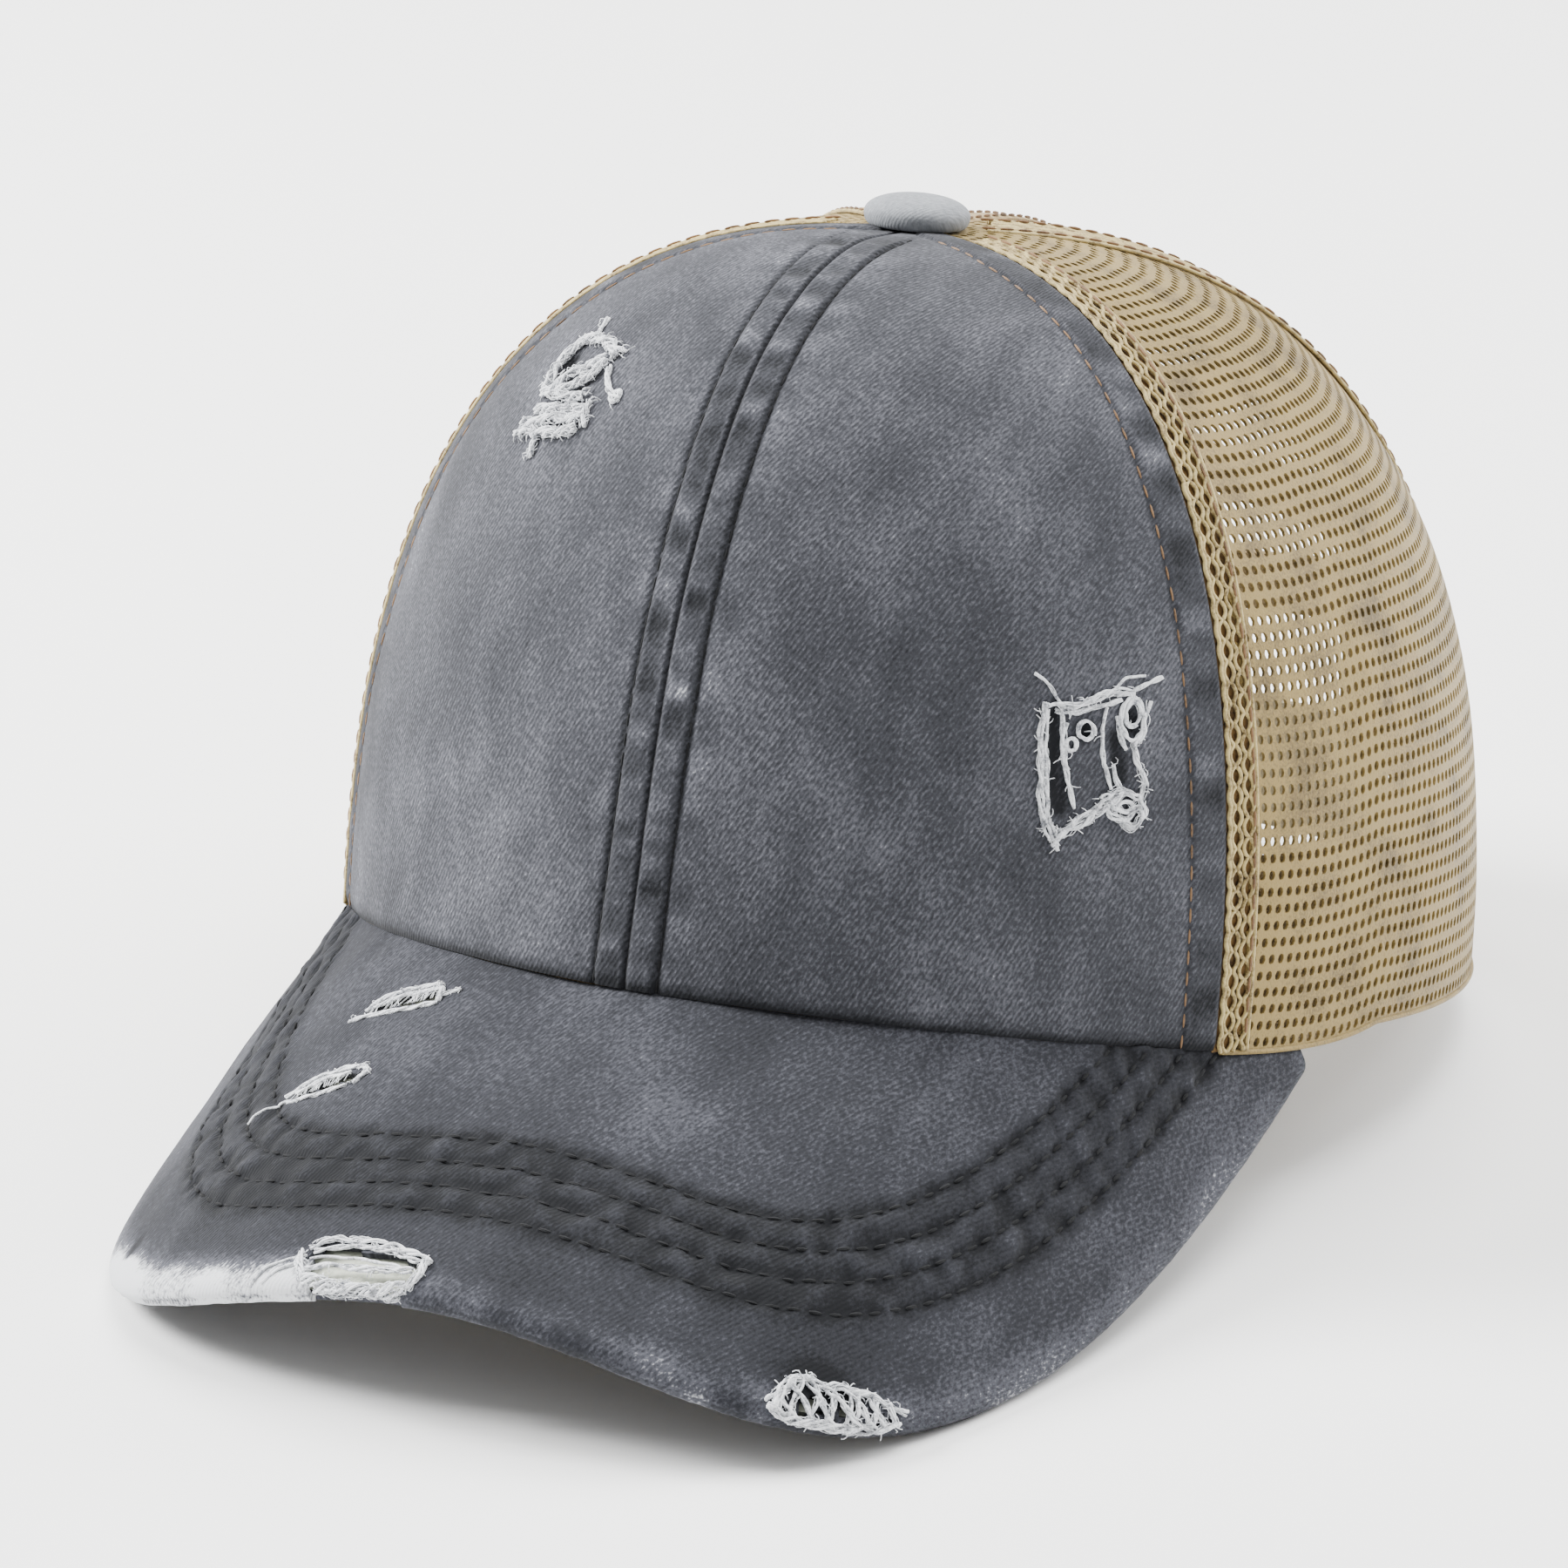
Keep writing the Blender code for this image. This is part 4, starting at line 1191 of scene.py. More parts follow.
class StitchTree(Tree):
    """A row of stitches: short rounded threads along a path, each lying on the cloth."""

    def __init__(self) -> None:
        """Build the tree."""
        super().__init__("stitch_row", {"Pitch": float, "Length": float, "Thickness": float, "Lift": float})
        given, add = self.inputs, self.add
        spaced = add("GeometryNodeResampleCurve", {
            "Curve": add("GeometryNodeMeshToCurve", {0: given["Geometry"]}), "Length": given["Pitch"]},
            mode="LENGTH")
        up = add("GeometryNodeInputNamedAttribute", {"Name": "surface_normal"}, data_type="FLOAT_VECTOR")
        lift = add("ShaderNodeVectorMath", {0: up, "Scale": given["Lift"]}, operation="SCALE")
        raised = add("GeometryNodeSetPosition", {"Geometry": spaced, "Offset": lift})
        ball = add("GeometryNodeMeshUVSphere", {"Segments": 6, "Rings": 4, "Radius": 1.0})
        lying = add("GeometryNodeTransform", {"Geometry": ball, "Rotation": (0.0, math.pi / 2, 0.0)})
        facing = add("FunctionNodeAxesToRotation", {0: add("GeometryNodeInputTangent"), 1: up},
                     primary_axis="X", secondary_axis="Z")
        whole = add("ShaderNodeCombineXYZ", {0: given["Length"], 1: given["Thickness"],
                                             2: given["Thickness"]})
        half = add("ShaderNodeVectorMath", {0: whole, "Scale": 0.5}, operation="SCALE")
        self.close(add("GeometryNodeInstanceOnPoints", {
            "Points": raised, "Instance": lying, "Rotation": facing, "Scale": half}))


class ThreadTree(Tree):
    """Loose threads: round tubes along paths, thinner towards their ends."""

    def __init__(self) -> None:
        """Build the tree."""
        super().__init__("loose_threads", {"Radius": float, "Step": float, "Sides": int})
        given, add = self.inputs, self.add
        curve = add("GeometryNodeMeshToCurve", {0: given["Geometry"]})
        smooth = add("GeometryNodeCurveSplineType", {0: curve}, spline_type="CATMULL_ROM")
        spaced = add("GeometryNodeResampleCurve", {"Curve": smooth, "Length": given["Step"]}, mode="LENGTH")
        share = add("GeometryNodeSplineParameter").outputs["Factor"]
        rest = add("ShaderNodeMath", {0: 1.0, 1: share}, operation="SUBTRACT")
        nearer = add("ShaderNodeMath", {0: share, 1: rest}, operation="MINIMUM")
        taper = add("ShaderNodeMath", {0: nearer, 1: 9.0, 2: 0.35}, operation="MULTIPLY_ADD", use_clamp=True)
        sized = add("GeometryNodeSetCurveRadius", {"Curve": spaced, "Radius": taper})
        ring = add("GeometryNodeCurvePrimitiveCircle", {"Resolution": given["Sides"],
                                                        "Radius": given["Radius"]})
        self.close(add("GeometryNodeCurveToMesh", {"Curve": sized, "Profile Curve": ring, "Fill Caps": True}))


@dataclass
class Bench:
    """The trees and the finished materials that every sub-assembly shares."""

    finishes: Finishes = field(default_factory=Finishes)
    materials: dict[str, bpy.types.Material] = field(default_factory=dict)

    def __post_init__(self) -> None:
        """Build the trees."""
        self.net, self.stitches, self.threads = NetTree(), StitchTree(), ThreadTree()

    def material(self, name: str) -> bpy.types.Material:
        """A finish by its name, made once.

        Args:
            name: the field of Finishes.

        Returns:
            The material.
        """
        if name not in self.materials:
            self.materials[name] = getattr(self.finishes, name).make()
        return self.materials[name]

    def stitch(self, name: str, paths: Sequence[Sequence[tuple[Vector, Vector]]], finish: str,
               pitch: float = 3.0, length: float = 2.3, thickness: float = 0.42) -> bpy.types.Object:
        """Sew rows of stitches.

        Args:
            name: the piece's name.
            paths: for each row, its points with their normals.
            finish: the thread's finish.
            pitch: from one stitch to the next, in millimetres.
            length: of a stitch, in millimetres.
            thickness: of the thread, in millimetres.

        Returns:
            The piece.
        """
        obj = polylines(name, [[point for point, _ in path] for path in paths])
        normals = obj.data.attributes.new("surface_normal", "FLOAT_VECTOR", "POINT")
        flat = [value for path in paths for _, normal in path for value in normal]
        normals.data.foreach_set("vector", flat)
        self.stitches.apply(obj, {"Pitch": pitch * MM, "Length": length * MM, "Thickness": thickness * MM,
                                  "Lift": thickness * 0.02 * MM, "Finish": self.material(finish)})
        return finish_piece(obj)

    def thread(self, name: str, paths: Sequence[Sequence[Vector]], finish: str,
               radius: float = 0.16, step: float = 0.5, sides: int = 5) -> bpy.types.Object:
        """Lay loose threads.

        Args:
            name: the piece's name.
            paths: the points of each thread.
            finish: the thread's finish.
            radius: in millimetres.
            step: length of a segment, in millimetres.
            sides: of the round thread.

        Returns:
            The piece.
        """
        obj = polylines(name, paths)
        self.threads.apply(obj, {"Radius": radius * MM, "Step": step * MM, "Sides": sides,
                                 "Finish": self.material(finish)})
        return finish_piece(obj, sharp=180.0)


def polylines(name: str, paths: Sequence[Sequence[Vector]]) -> bpy.types.Object:
    """Make one object whose edges are the given paths.

    Args:
        name: the object's name.
        paths: the points of each path.

    Returns:
        The object.
    """
    points = [tuple(point) for path in paths for point in path]
    edges, start = [], 0
    for path in paths:
        edges += [(start + k, start + k + 1) for k in range(len(path) - 1)]
        start += len(path)
    data = bpy.data.meshes.new(name)
    data.from_pydata(points, edges, [])
    return linked(name, data)


# Frayed yarn

@dataclass
class Fray:
    """Bleached yarns that stand out of a worn hole, all from one seed."""

    ground: Ground
    seed: int
    outward: Vector | None = None

    def __post_init__(self) -> None:
        """Start the random numbers and the lists of thick yarns and fine fibres."""
        self.chance = random.Random(self.seed)
        noise.seed_set(self.seed)
        self.yarns: list[list[Vector]] = []
        self.fibres: list[list[Vector]] = []

    def frames(self, line: Sequence[Vector], step: float = 0.55) -> list[tuple[Vector, Vector, Vector]]:
        """Find the point on the cloth, the normal and the sideways direction along a line.

        Args:
            line: its points.
            step: length between frames, in millimetres.

        Returns:
            A list of the three vectors.
        """
        total = sum((b - a).length for a, b in zip(line, line[1:])) / MM
        count = max(5, int(total / step) + 1)
        fine = [Vector(place) for place in evenly(line, count).tolist()]
        frames = []
        for k, place in enumerate(fine):
            ahead = fine[min(k + 1, count - 1)] - fine[max(k - 1, 0)]
            base, normal = self.ground.lay(place, 0.0, self.outward)
            frames.append((base, normal, normal.cross(ahead).normalized()))
        return frames

    def strand(self, frames: Sequence[tuple[Vector, Vector, Vector]], radius: float, height: float,
               twist: float, stray: float) -> list[Vector]:
        """Wind one yarn round a line.

        Args:
            frames: the line's frames.
            radius: distance from the line, in millimetres.
            height: of the line over the cloth, in millimetres.
            twist: turn from one frame to the next, in radians.
            stray: how far the yarn wanders, in millimetres.

        Returns:
            The yarn's points.
        """
        first = self.chance.uniform(0, 2 * math.pi)
        path = []
        for k, (base, normal, side) in enumerate(frames):
            wobble = noise.noise_vector(Vector((k * 0.33 + first * 9, first, self.seed)))
            across = radius * math.sin(first + k * twist) + stray * wobble.x * 2
            up = height + radius * 0.7 * math.cos(first + k * twist) + stray * wobble.y * 1.5
            path.append(base + side * (across * MM) + normal * (max(0.06, up) * MM))
        return path

    def rope(self, line: Sequence[Vector], plies: int, radius: float, fibres: int = 8, loose: int = 6,
             lift: float = 0.0, reach: float = 1.6) -> None:
        """Lay a frayed edge: plied yarns, fine fibres round them and loose ends.

        Args:
            line: the points it follows.
            plies: how many thick yarns.
            radius: of the bundle, in millimetres.
            fibres: how many fine fibres follow it.
            loose: how many loose ends.
            lift: height of the bundle's underside over the cloth, in millimetres.
            reach: the longest loose end, in millimetres.
        """
        frames = self.frames(line)
        for _ in range(plies):
            self.yarns.append(self.strand(frames, radius, radius + lift, self.chance.uniform(0.35, 0.7),
                                          0.35 * radius))
        for _ in range(fibres):
            start = self.chance.randrange(0, max(1, len(frames) - 5))
            stop = min(len(frames), start + self.chance.randrange(5, 16))
            self.fibres.append(self.strand(frames[start:stop], radius * 1.15, radius + lift,
                                           self.chance.uniform(-0.5, 0.5), 0.7 * radius))
        for _ in range(loose):
            self.fibres.append(self.loose_end(self.chance.choice(frames), radius, lift, reach))

    def loose_end(self, frame_at: tuple[Vector, Vector, Vector], radius: float, lift: float,
                  reach: float) -> list[Vector]:
        """One end that stands out of a bundle and curls.

        Args:
            frame_at: where it leaves the bundle.
            radius: of the bundle, in millimetres.
            lift: height of the bundle over the cloth, in millimetres.
            reach: its greatest length, in millimetres.

        Returns:
            Its points.
        """
        base, normal, side = frame_at
        swing = Matrix.Rotation(self.chance.uniform(-1.1, 1.1), 3, normal)
        way = swing @ (side * self.chance.choice((-1, 1)))
        curl = Matrix.Rotation(self.chance.uniform(-0.45, 0.45), 3, normal)
        length, rise = self.chance.uniform(0.45, 1.0) * reach, self.chance.uniform(0.0, 0.8)
        place, path = base + way * (radius * 0.5 * MM), []
        for k in range(6):
            height = max(0.08, lift + radius * (1 - k / 8) + rise * math.sin(k / 5 * math.pi))
            path.append(place + normal * (height * MM))
            way = curl @ way
            place = place + way * (length * MM / 5)
        return path

    def loop(self, centre: Vector, across: Vector, up: Vector, plies: int, radius: float) -> None:
        """Lay a ring of yarn.

        Args:
            centre: its middle.
            across: its half width, as a vector.
            up: its half height, as a vector.
            plies: how many thick yarns.
            radius: of the bundle, in millimetres.
        """
        first = self.chance.uniform(0, 6)
        turns = [first + k * 0.45 for k in range(15)]
        ring = [centre + across * math.cos(turn) + up * math.sin(turn) for turn in turns]
        self.rope(ring, plies, radius, 3, 1, 0.2)


# Sub-assemblies

@dataclass
class FrontPanels:
    """Two twill gores with a felled centre seam and a turned hem over the net."""

    crown: CrownForm
    columns: int = 100
    rows: int = 120
    wall: float = 0.0012
    strip: float = 5.0
    hem: float = 6.6
    start: float = 0.0007

    def sheet(self, side: Side) -> tuple[Sheet, np.ndarray, np.ndarray]:
        """One panel before it has its wall.

        Args:
            side: which of the two.

        Returns:
            The sheet, and its distances from the centre seam and from the side seam in millimetres.
        """
        seam = math.radians(self.crown.front_seam)
        shares = np.linspace(0.0, 1.0, self.columns + 1)
        shares = shares - 0.105 * np.sin(2 * math.pi * shares)
        angles = seam * shares if side is Side.LEFT else -seam * shares[::-1]
        lines = [self.crown.line(float(phi), self.rows + 1, self.start) for phi in angles]
        sheet = Sheet.measured(np.stack(lines, axis=1))
        width = sheet.across[:, -1:]
        centre = sheet.across if side is Side.LEFT else width - sheet.across
        return sheet, centre, width - centre

    def relief(self, sheet: Sheet, centre: np.ndarray, edge: np.ndarray, side: Side) -> None:
        """Raise the seams, puckers and folds of the cloth, make what stands proud worn and pale, and paint
        shade into the seam dents and along the crown's foot.

        Args:
            sheet: the panel, which is changed.
            centre: each point's distance from the centre seam, in millimetres.
            edge: its distance from the side seam, in millimetres.
            side: which panel.
        """
        up, seed = sheet.up, 3.0 * side.value
        top = ramp(sheet.up.max(axis=0)[None, :] - up, 2.0, 16.0)
        signed = centre * side.value
        pucker = cloud(signed * 0.25, up, 4.2, seed) + 0.5 * cloud(signed * 0.5, up, 2.2, seed + 9)
        fold = cloud(edge * 0.3, up, 5.0, seed + 4)
        inner = ramp(centre, 0.5, 1.4) * ramp(centre, self.strip - 0.2, self.strip - 1.4)
        outer = (ramp(centre, self.strip + 0.2, self.strip + 1.2)
                 * ramp(centre, self.strip + 6.5, self.strip + 1.6))
        hem_in = ramp(edge, 0.6, 1.6) * ramp(edge, self.hem - 0.4, self.hem - 1.6)
        seam_line = line_dent(centre, 0.0, 0.35)
        sewn = line_dent(centre, self.strip, 0.42)
        hem_line = line_dent(edge, self.hem, 0.4)
        waves = 0.45 * cloud(signed, up, 34.0, 1.7) + 0.10 * cloud(signed, up, 8.0, 2.6)
        height = (top * (0.28 * ramp(centre, self.strip + 0.6, self.strip - 0.4) + 0.40 * pucker * inner
                         + 0.16 * pucker * outer)
                  - 0.65 * seam_line - 0.60 * sewn * top
                  + 0.35 * ramp(edge, self.hem + 0.5, self.hem - 0.4) - 0.30 * hem_line
                  + 0.14 * fold * hem_in - 0.7 * line_dent(edge, 0.0, 0.45)
                  - 0.45 * line_dent(up, 0.0, 1.0) + waves * ramp(edge, 0.0, 12.0))
        sheet.raise_by(height)
        # Worn pale where puckers and folds stand proud; darker along the centre seam, the stitch row and the
        # hem as painted shade in their dents; the dark band along the rim is a painted shadow where the crown
        # meets the visor. The centre strip and the hem are a little darker too.
        sheet.wear_and_shade = (top * (0.65 * pucker * inner + 0.25 * pucker * outer - 0.30 * inner)
                      - 0.8 * line_dent(centre, 0.0, 0.4) - 0.8 * line_dent(centre, self.strip, 0.5) * top
                      - 0.4 * line_dent(edge, self.hem, 0.45) + 0.55 * fold * hem_in - 0.25 * hem_in
                      - 1.2 * line_dent(up, 0.0, 1.0))
        sheet.wear_and_shade = np.minimum(sheet.wear_and_shade, 0.5)
        sheet.across = signed

    def row(self, sheet: Sheet, distance: np.ndarray, at: float,
            ground: Ground) -> list[tuple[Vector, Vector]]:
        """A stitch row's path, at one distance from a seam.

        Args:
            sheet: the panel.
            distance: each point's distance from the seam, in millimetres.
            at: the row's distance.
            ground: the finished panel.

        Returns:
            Points with their normals.
        """
        path = []
        normals = sheet.normals()
        for r in range(1, sheet.points.shape[0] - 8):
            order = np.argsort(distance[r])
            if distance[r][order[-1]] < at:
                break
            spot = [np.interp(at, distance[r][order], sheet.points[r][order, k]) for k in range(3)]
            facing = [np.interp(at, distance[r][order], normals[r][order, k]) for k in range(3)]
            path.append(ground.lay(Vector(spot), 0.0, Vector(facing).normalized()))
        return path

    def build(self, bench: Bench) -> Ground:
        """Make both panels and their stitches.

        Args:
            bench: the shared trees and finishes.

        Returns:
            The panels' outer faces, for the frayed patches.
        """
        pieces, centre_rows, hem_rows = [], [], []
        for side, node in ((Side.LEFT, "front_panel_left"), (Side.RIGHT, "front_panel_right")):
            sheet, centre, edge = self.sheet(side)
            self.relief(sheet, centre, edge, side)
            WornPatches.sink_and_shade(sheet, self.crown, side)
            obj = thicken(sheet.build(node + "_cloth"), self.wall)
            ground = Ground([obj])
            centre_rows.append(self.row(sheet, centre, self.strip, ground))
            hem_rows.append(self.row(sheet, edge, self.hem, ground))
            pieces.append((obj, node))
        ground = Ground([obj for obj, _ in pieces])
        for obj, node in pieces:
            finish_piece(obj, [node], bench.material("twill"))
        bench.stitch("centre_seam_stitches", centre_rows, "grey_thread_painted_shade", 2.8, 2.1, 0.4)
        bench.stitch("hem_stitches", hem_rows, "brown_thread", 3.1, 2.2, 0.38)
        return ground


@dataclass
class NetPanels:
    """The four net gores, their folded seams and the turned edge round the rim."""

    crown: CrownForm
    opening: OpeningForm
    pitch_across: float = 1.92
    pitch_up: float = 2.6
    hole_width: float = 1.24
    hole_height: float = 1.62
    lean: float = 0.2
    wall: float = 0.0005
    fold_width: float = 5.6
    fold_lift: float = 0.35
    chain_pitch: float = 3.0
    chain_reach: float = 1.0
    chain_places: tuple[float, ...] = (1.35, 3.75)

    def surface(self, start: float, end: float, columns: int, rows: int, offset: float) -> Sheet:
        """A net gore's surface, with rows of cloth that follow the rim.

        Args:
            start: its first seam, in degrees.
            end: its second seam, in degrees.
            columns: how many faces across.
            rows: how many faces up.
            offset: how far outside the crown's form it lies, in millimetres.

        Returns:
            The sheet.
        """
        angles = np.radians(np.linspace(start, end, columns + 1))
        lines = [self.crown.line(float(phi), rows + 1, self.wall) for phi in angles]
        sheet = Sheet.measured(np.stack(lines, axis=1))
        sheet.across -= sheet.across[:, -1:] / 2
        sheet.up = np.repeat(sheet.up.mean(axis=1)[:, None], columns + 1, axis=1)
        sag = 0.35 * cloud(sheet.across + start, sheet.up, 26.0, 4.0) * ramp(sheet.up, 0.0, 14.0)
        return sheet.raise_by(sag + offset)

    def gore(self, node: str, start: float, end: float, bench: Bench) -> None:
        """One net gore, cut to the ponytail opening behind.

        Args:
            node: the solid that it stands for.
            start: its first seam, in degrees.
            end: its second seam, in degrees.
            bench: the shared trees and finishes.
        """
        sheet = self.surface(start, end, 90, 60, 0.0)
        behind = max(abs(start), abs(end)) > self.crown.back_seam + 1
        folded = self.fold_width - 0.9
        from_start = sheet.across - sheet.across[:, :1]
        from_end = sheet.across[:, -1:] - sheet.across
        open_faces = (from_start < folded) & (abs(start) < 180) | (from_end < folded) & (abs(end) < 180)
        open_faces &= sheet.up < sheet.up.max() - 12.0
        open_faces = open_faces[:-1, :-1] & open_faces[1:, 1:]
        if behind:
            open_faces |= self.in_opening(sheet)
        obj = sheet.build(node + "_net", open_faces)
        width = float(sheet.across.max() * 2)
        leaning = int(sheet.up.max() / self.pitch_up * self.lean * 2)
        bench.net.apply(obj, {
            "Columns": int(width / self.pitch_across) + 12 + leaning,
            "Rows": int(sheet.up.max() / self.pitch_up) + 2, "Pitch Across": self.pitch_across,
            "Pitch Up": self.pitch_up, "Lean": self.lean, "Hole Width": self.hole_width,
            "Hole Height": self.hole_height, "Tilt": 0.18, "First Row": 0.12,
            "Finish": bench.material("net")})
        thicken(obj, self.wall)
        finish_piece(obj, [node], sharp=60.0)

    def in_opening(self, sheet: Sheet) -> np.ndarray:
        """Which faces of a back gore lie within the ponytail opening.

        Args:
            sheet: the gore.

        Returns:
            True for each face that is left out.
        """
        middle = (sheet.points[:-1, :-1] + sheet.points[1:, 1:]) / 2
        half = np.array([[self.opening.half_width(float(p[2])) if p[2] < self.opening.top_z else -1.0
                          for p in row] for row in middle])
        return np.abs(middle[:, :, 0]) < half + 0.0015

    def strip(self, angle: float, near: float, far: float, offset: float, low_z: float = -1.0) -> Sheet:
        """A strip of surface beside a seam.

        Args:
            angle: the seam, in degrees.
            near: distance of its first edge from the seam, in millimetres, positive away from the front.
            far: distance of its second edge.
            offset: how far outside the crown's form it lies, in millimetres.
            low_z: height where it begins, in metres.

        Returns:
            The sheet, whose first coordinate runs with the angle from the strip's middle.
        """
        phi, small, rows = math.radians(angle), 0.004, 241
        sign = math.copysign(1.0, angle)
        here = self.crown.line(phi, rows, self.wall)
        step = np.linalg.norm(self.crown.line(phi + small, rows, self.wall) - here, axis=1)
        distances = np.linspace(near, far, 7)[::int(sign)]
        grid = []
        for r in range(rows):
            turns = np.clip(sign * distances * MM / step[r] * small, -0.5, 0.5)
            height = here[r][2]
            grid.append([tuple(self.crown.point(phi + turn, self.crown.t_at(phi + turn, height)))
                         for turn in turns])
        sheet = Sheet.measured(np.array(grid))
        sheet.across = np.repeat((sign * (distances - (near + far) / 2))[None, :], rows, axis=0)
        sheet.up = np.repeat(sheet.up.mean(axis=1)[:, None], len(distances), axis=1)
        sheet.raise_by(np.full(sheet.up.shape, offset))
        kept = (sheet.up[:, 0] < sheet.up.max() - 9.0) & (sheet.points[:, 0, 2] > low_z)
        return Sheet(sheet.points[kept], sheet.across[kept], sheet.up[kept], sheet.wear_and_shade[kept])

    def trace(self, sheet: Sheet, across: np.ndarray, up: np.ndarray) -> list[Vector]:
        """Points of a sheet at the given cloth coordinates.

        Args:
            sheet: a sheet whose columns run straight up.
            across: first coordinates, in millimetres.
            up: second coordinates, in millimetres.

        Returns:
            The points.
        """
        places, heights = sheet.across[0], sheet.up[:, 0]
        columns = np.array([[np.interp(up, heights, sheet.points[:, c, k]) for k in range(3)]
                            for c in range(len(places))])
        return [Vector([np.interp(a, places, columns[:, k, n]) for k in range(3)])
                for n, a in enumerate(across)]

    def folds(self, bench: Bench) -> None:
        """The doubled edges beside each seam: two chains of knitted loops on a brown tape, sewn down.

        Args:
            bench: the shared trees and finishes.
        """
        chains, rows, tapes = [], [], []
        plans = [(side * angle, way) for side in (1, -1) for angle, way in
                 ((self.crown.front_seam, 1), (self.crown.back_seam, -1), (self.crown.back_seam, 1))]
        for angle, way in plans:
            near, far = sorted((-0.4 * way, self.fold_width * way))
            sheet = self.strip(angle, near, far, self.fold_lift)
            sign = math.copysign(1.0, angle)
            up = np.arange(0.0, float(sheet.up.max()), 0.42)
            middle = (near + far) / 2
            for k, place in enumerate(self.chain_places):
                wave = np.abs(np.sin(np.pi * (up / self.chain_pitch + 0.5 * k))) ** 0.7 * self.chain_reach
                for edge in (-1, 1):
                    chains.append(self.trace(sheet, sign * (way * (place + edge * wave) - middle), up))
            scallop = np.abs(np.sin(np.pi * up / self.chain_pitch)) * 0.45
            for place in (0.35 - scallop, np.full(up.shape, self.fold_width - 0.2)):
                chains.append(self.trace(sheet, sign * (way * place - middle), up))
            facing = sheet.normals()
            column = int(np.argmin(np.abs(sheet.across[0] - sign * (way * (self.fold_width - 0.8) - middle))))
            rows.append([(Vector((p + n * 0.4 * MM).tolist()), Vector(n.tolist()))
                         for p, n in zip(sheet.points[6::2, column], facing[6::2, column])])
            low, high = sorted((way * -0.9, way * self.fold_width))
            tape = self.strip(angle, low, high, -0.15).build("net_seam_tape_%d" % len(tapes))
            tapes.append(thicken(tape, 0.3 * MM))
        cover = self.strip(180.0, -3.0, 3.0, 0.1, self.opening.top_z)
        cover.raise_by(0.35 * ramp(np.abs(cover.across), 3.0, 1.8))
        for place in (-1.9, 1.9):
            column = int(np.argmin(np.abs(cover.across[0] - place)))
            rows.append([(Vector((p + n * 0.15 * MM).tolist()), Vector(n.tolist()))
                         for p, n in zip(cover.points[::2, column], cover.normals()[::2, column])])
        backs = thicken(cover.build("back_seam_tape"), 0.0006)
        finish_piece(backs, material=bench.material("tape"))
        for tape in tapes:
            finish_piece(tape, material=bench.material("fold_tape_painted_shade"))
        bench.thread("net_seam_chains", chains, "fold", 0.34, 0.6, 5)
        bench.stitch("net_seam_stitches", rows, "brown_thread", 3.0, 2.5, 0.5)

    def rim_edge(self, bench: Bench) -> None:
        """The cut edge of the net, from the visor's end round to the opening.

        Args:
            bench: the shared trees and finishes.
        """
        paths = []
        for side in (1, -1):
            turns = [side * math.radians(a) for a in np.linspace(self.crown.front_seam + 0.3, 180.0, 240)]
            feet = [self.crown.point(turn, self.crown.t_at(turn, self.crown.rim_height(turn) + 0.0005))
                    for turn in turns]
            paths.append([foot for foot, turn in zip(feet, turns)
                          if abs(turn) < math.pi / 2 or abs(foot.x) > self.opening.rim_half + 0.0075])
        bench.thread("net_rim_edge", paths, "net", 0.40, 0.8, 8)

    def build(self, bench: Bench) -> None:
        """Make the four gores, the folds and the rim's edge.

        Args:
            bench: the shared trees and finishes.
        """
        front, back = self.crown.front_seam, self.crown.back_seam
        for node, start, end in (("side_mesh_left", front, back), ("side_mesh_right", -back, -front),
                                 ("back_mesh_left", back, 180.0), ("back_mesh_right", -180.0, -back)):
            self.gore(node, start, end, bench)
        self.folds(bench)
        self.rim_edge(bench)


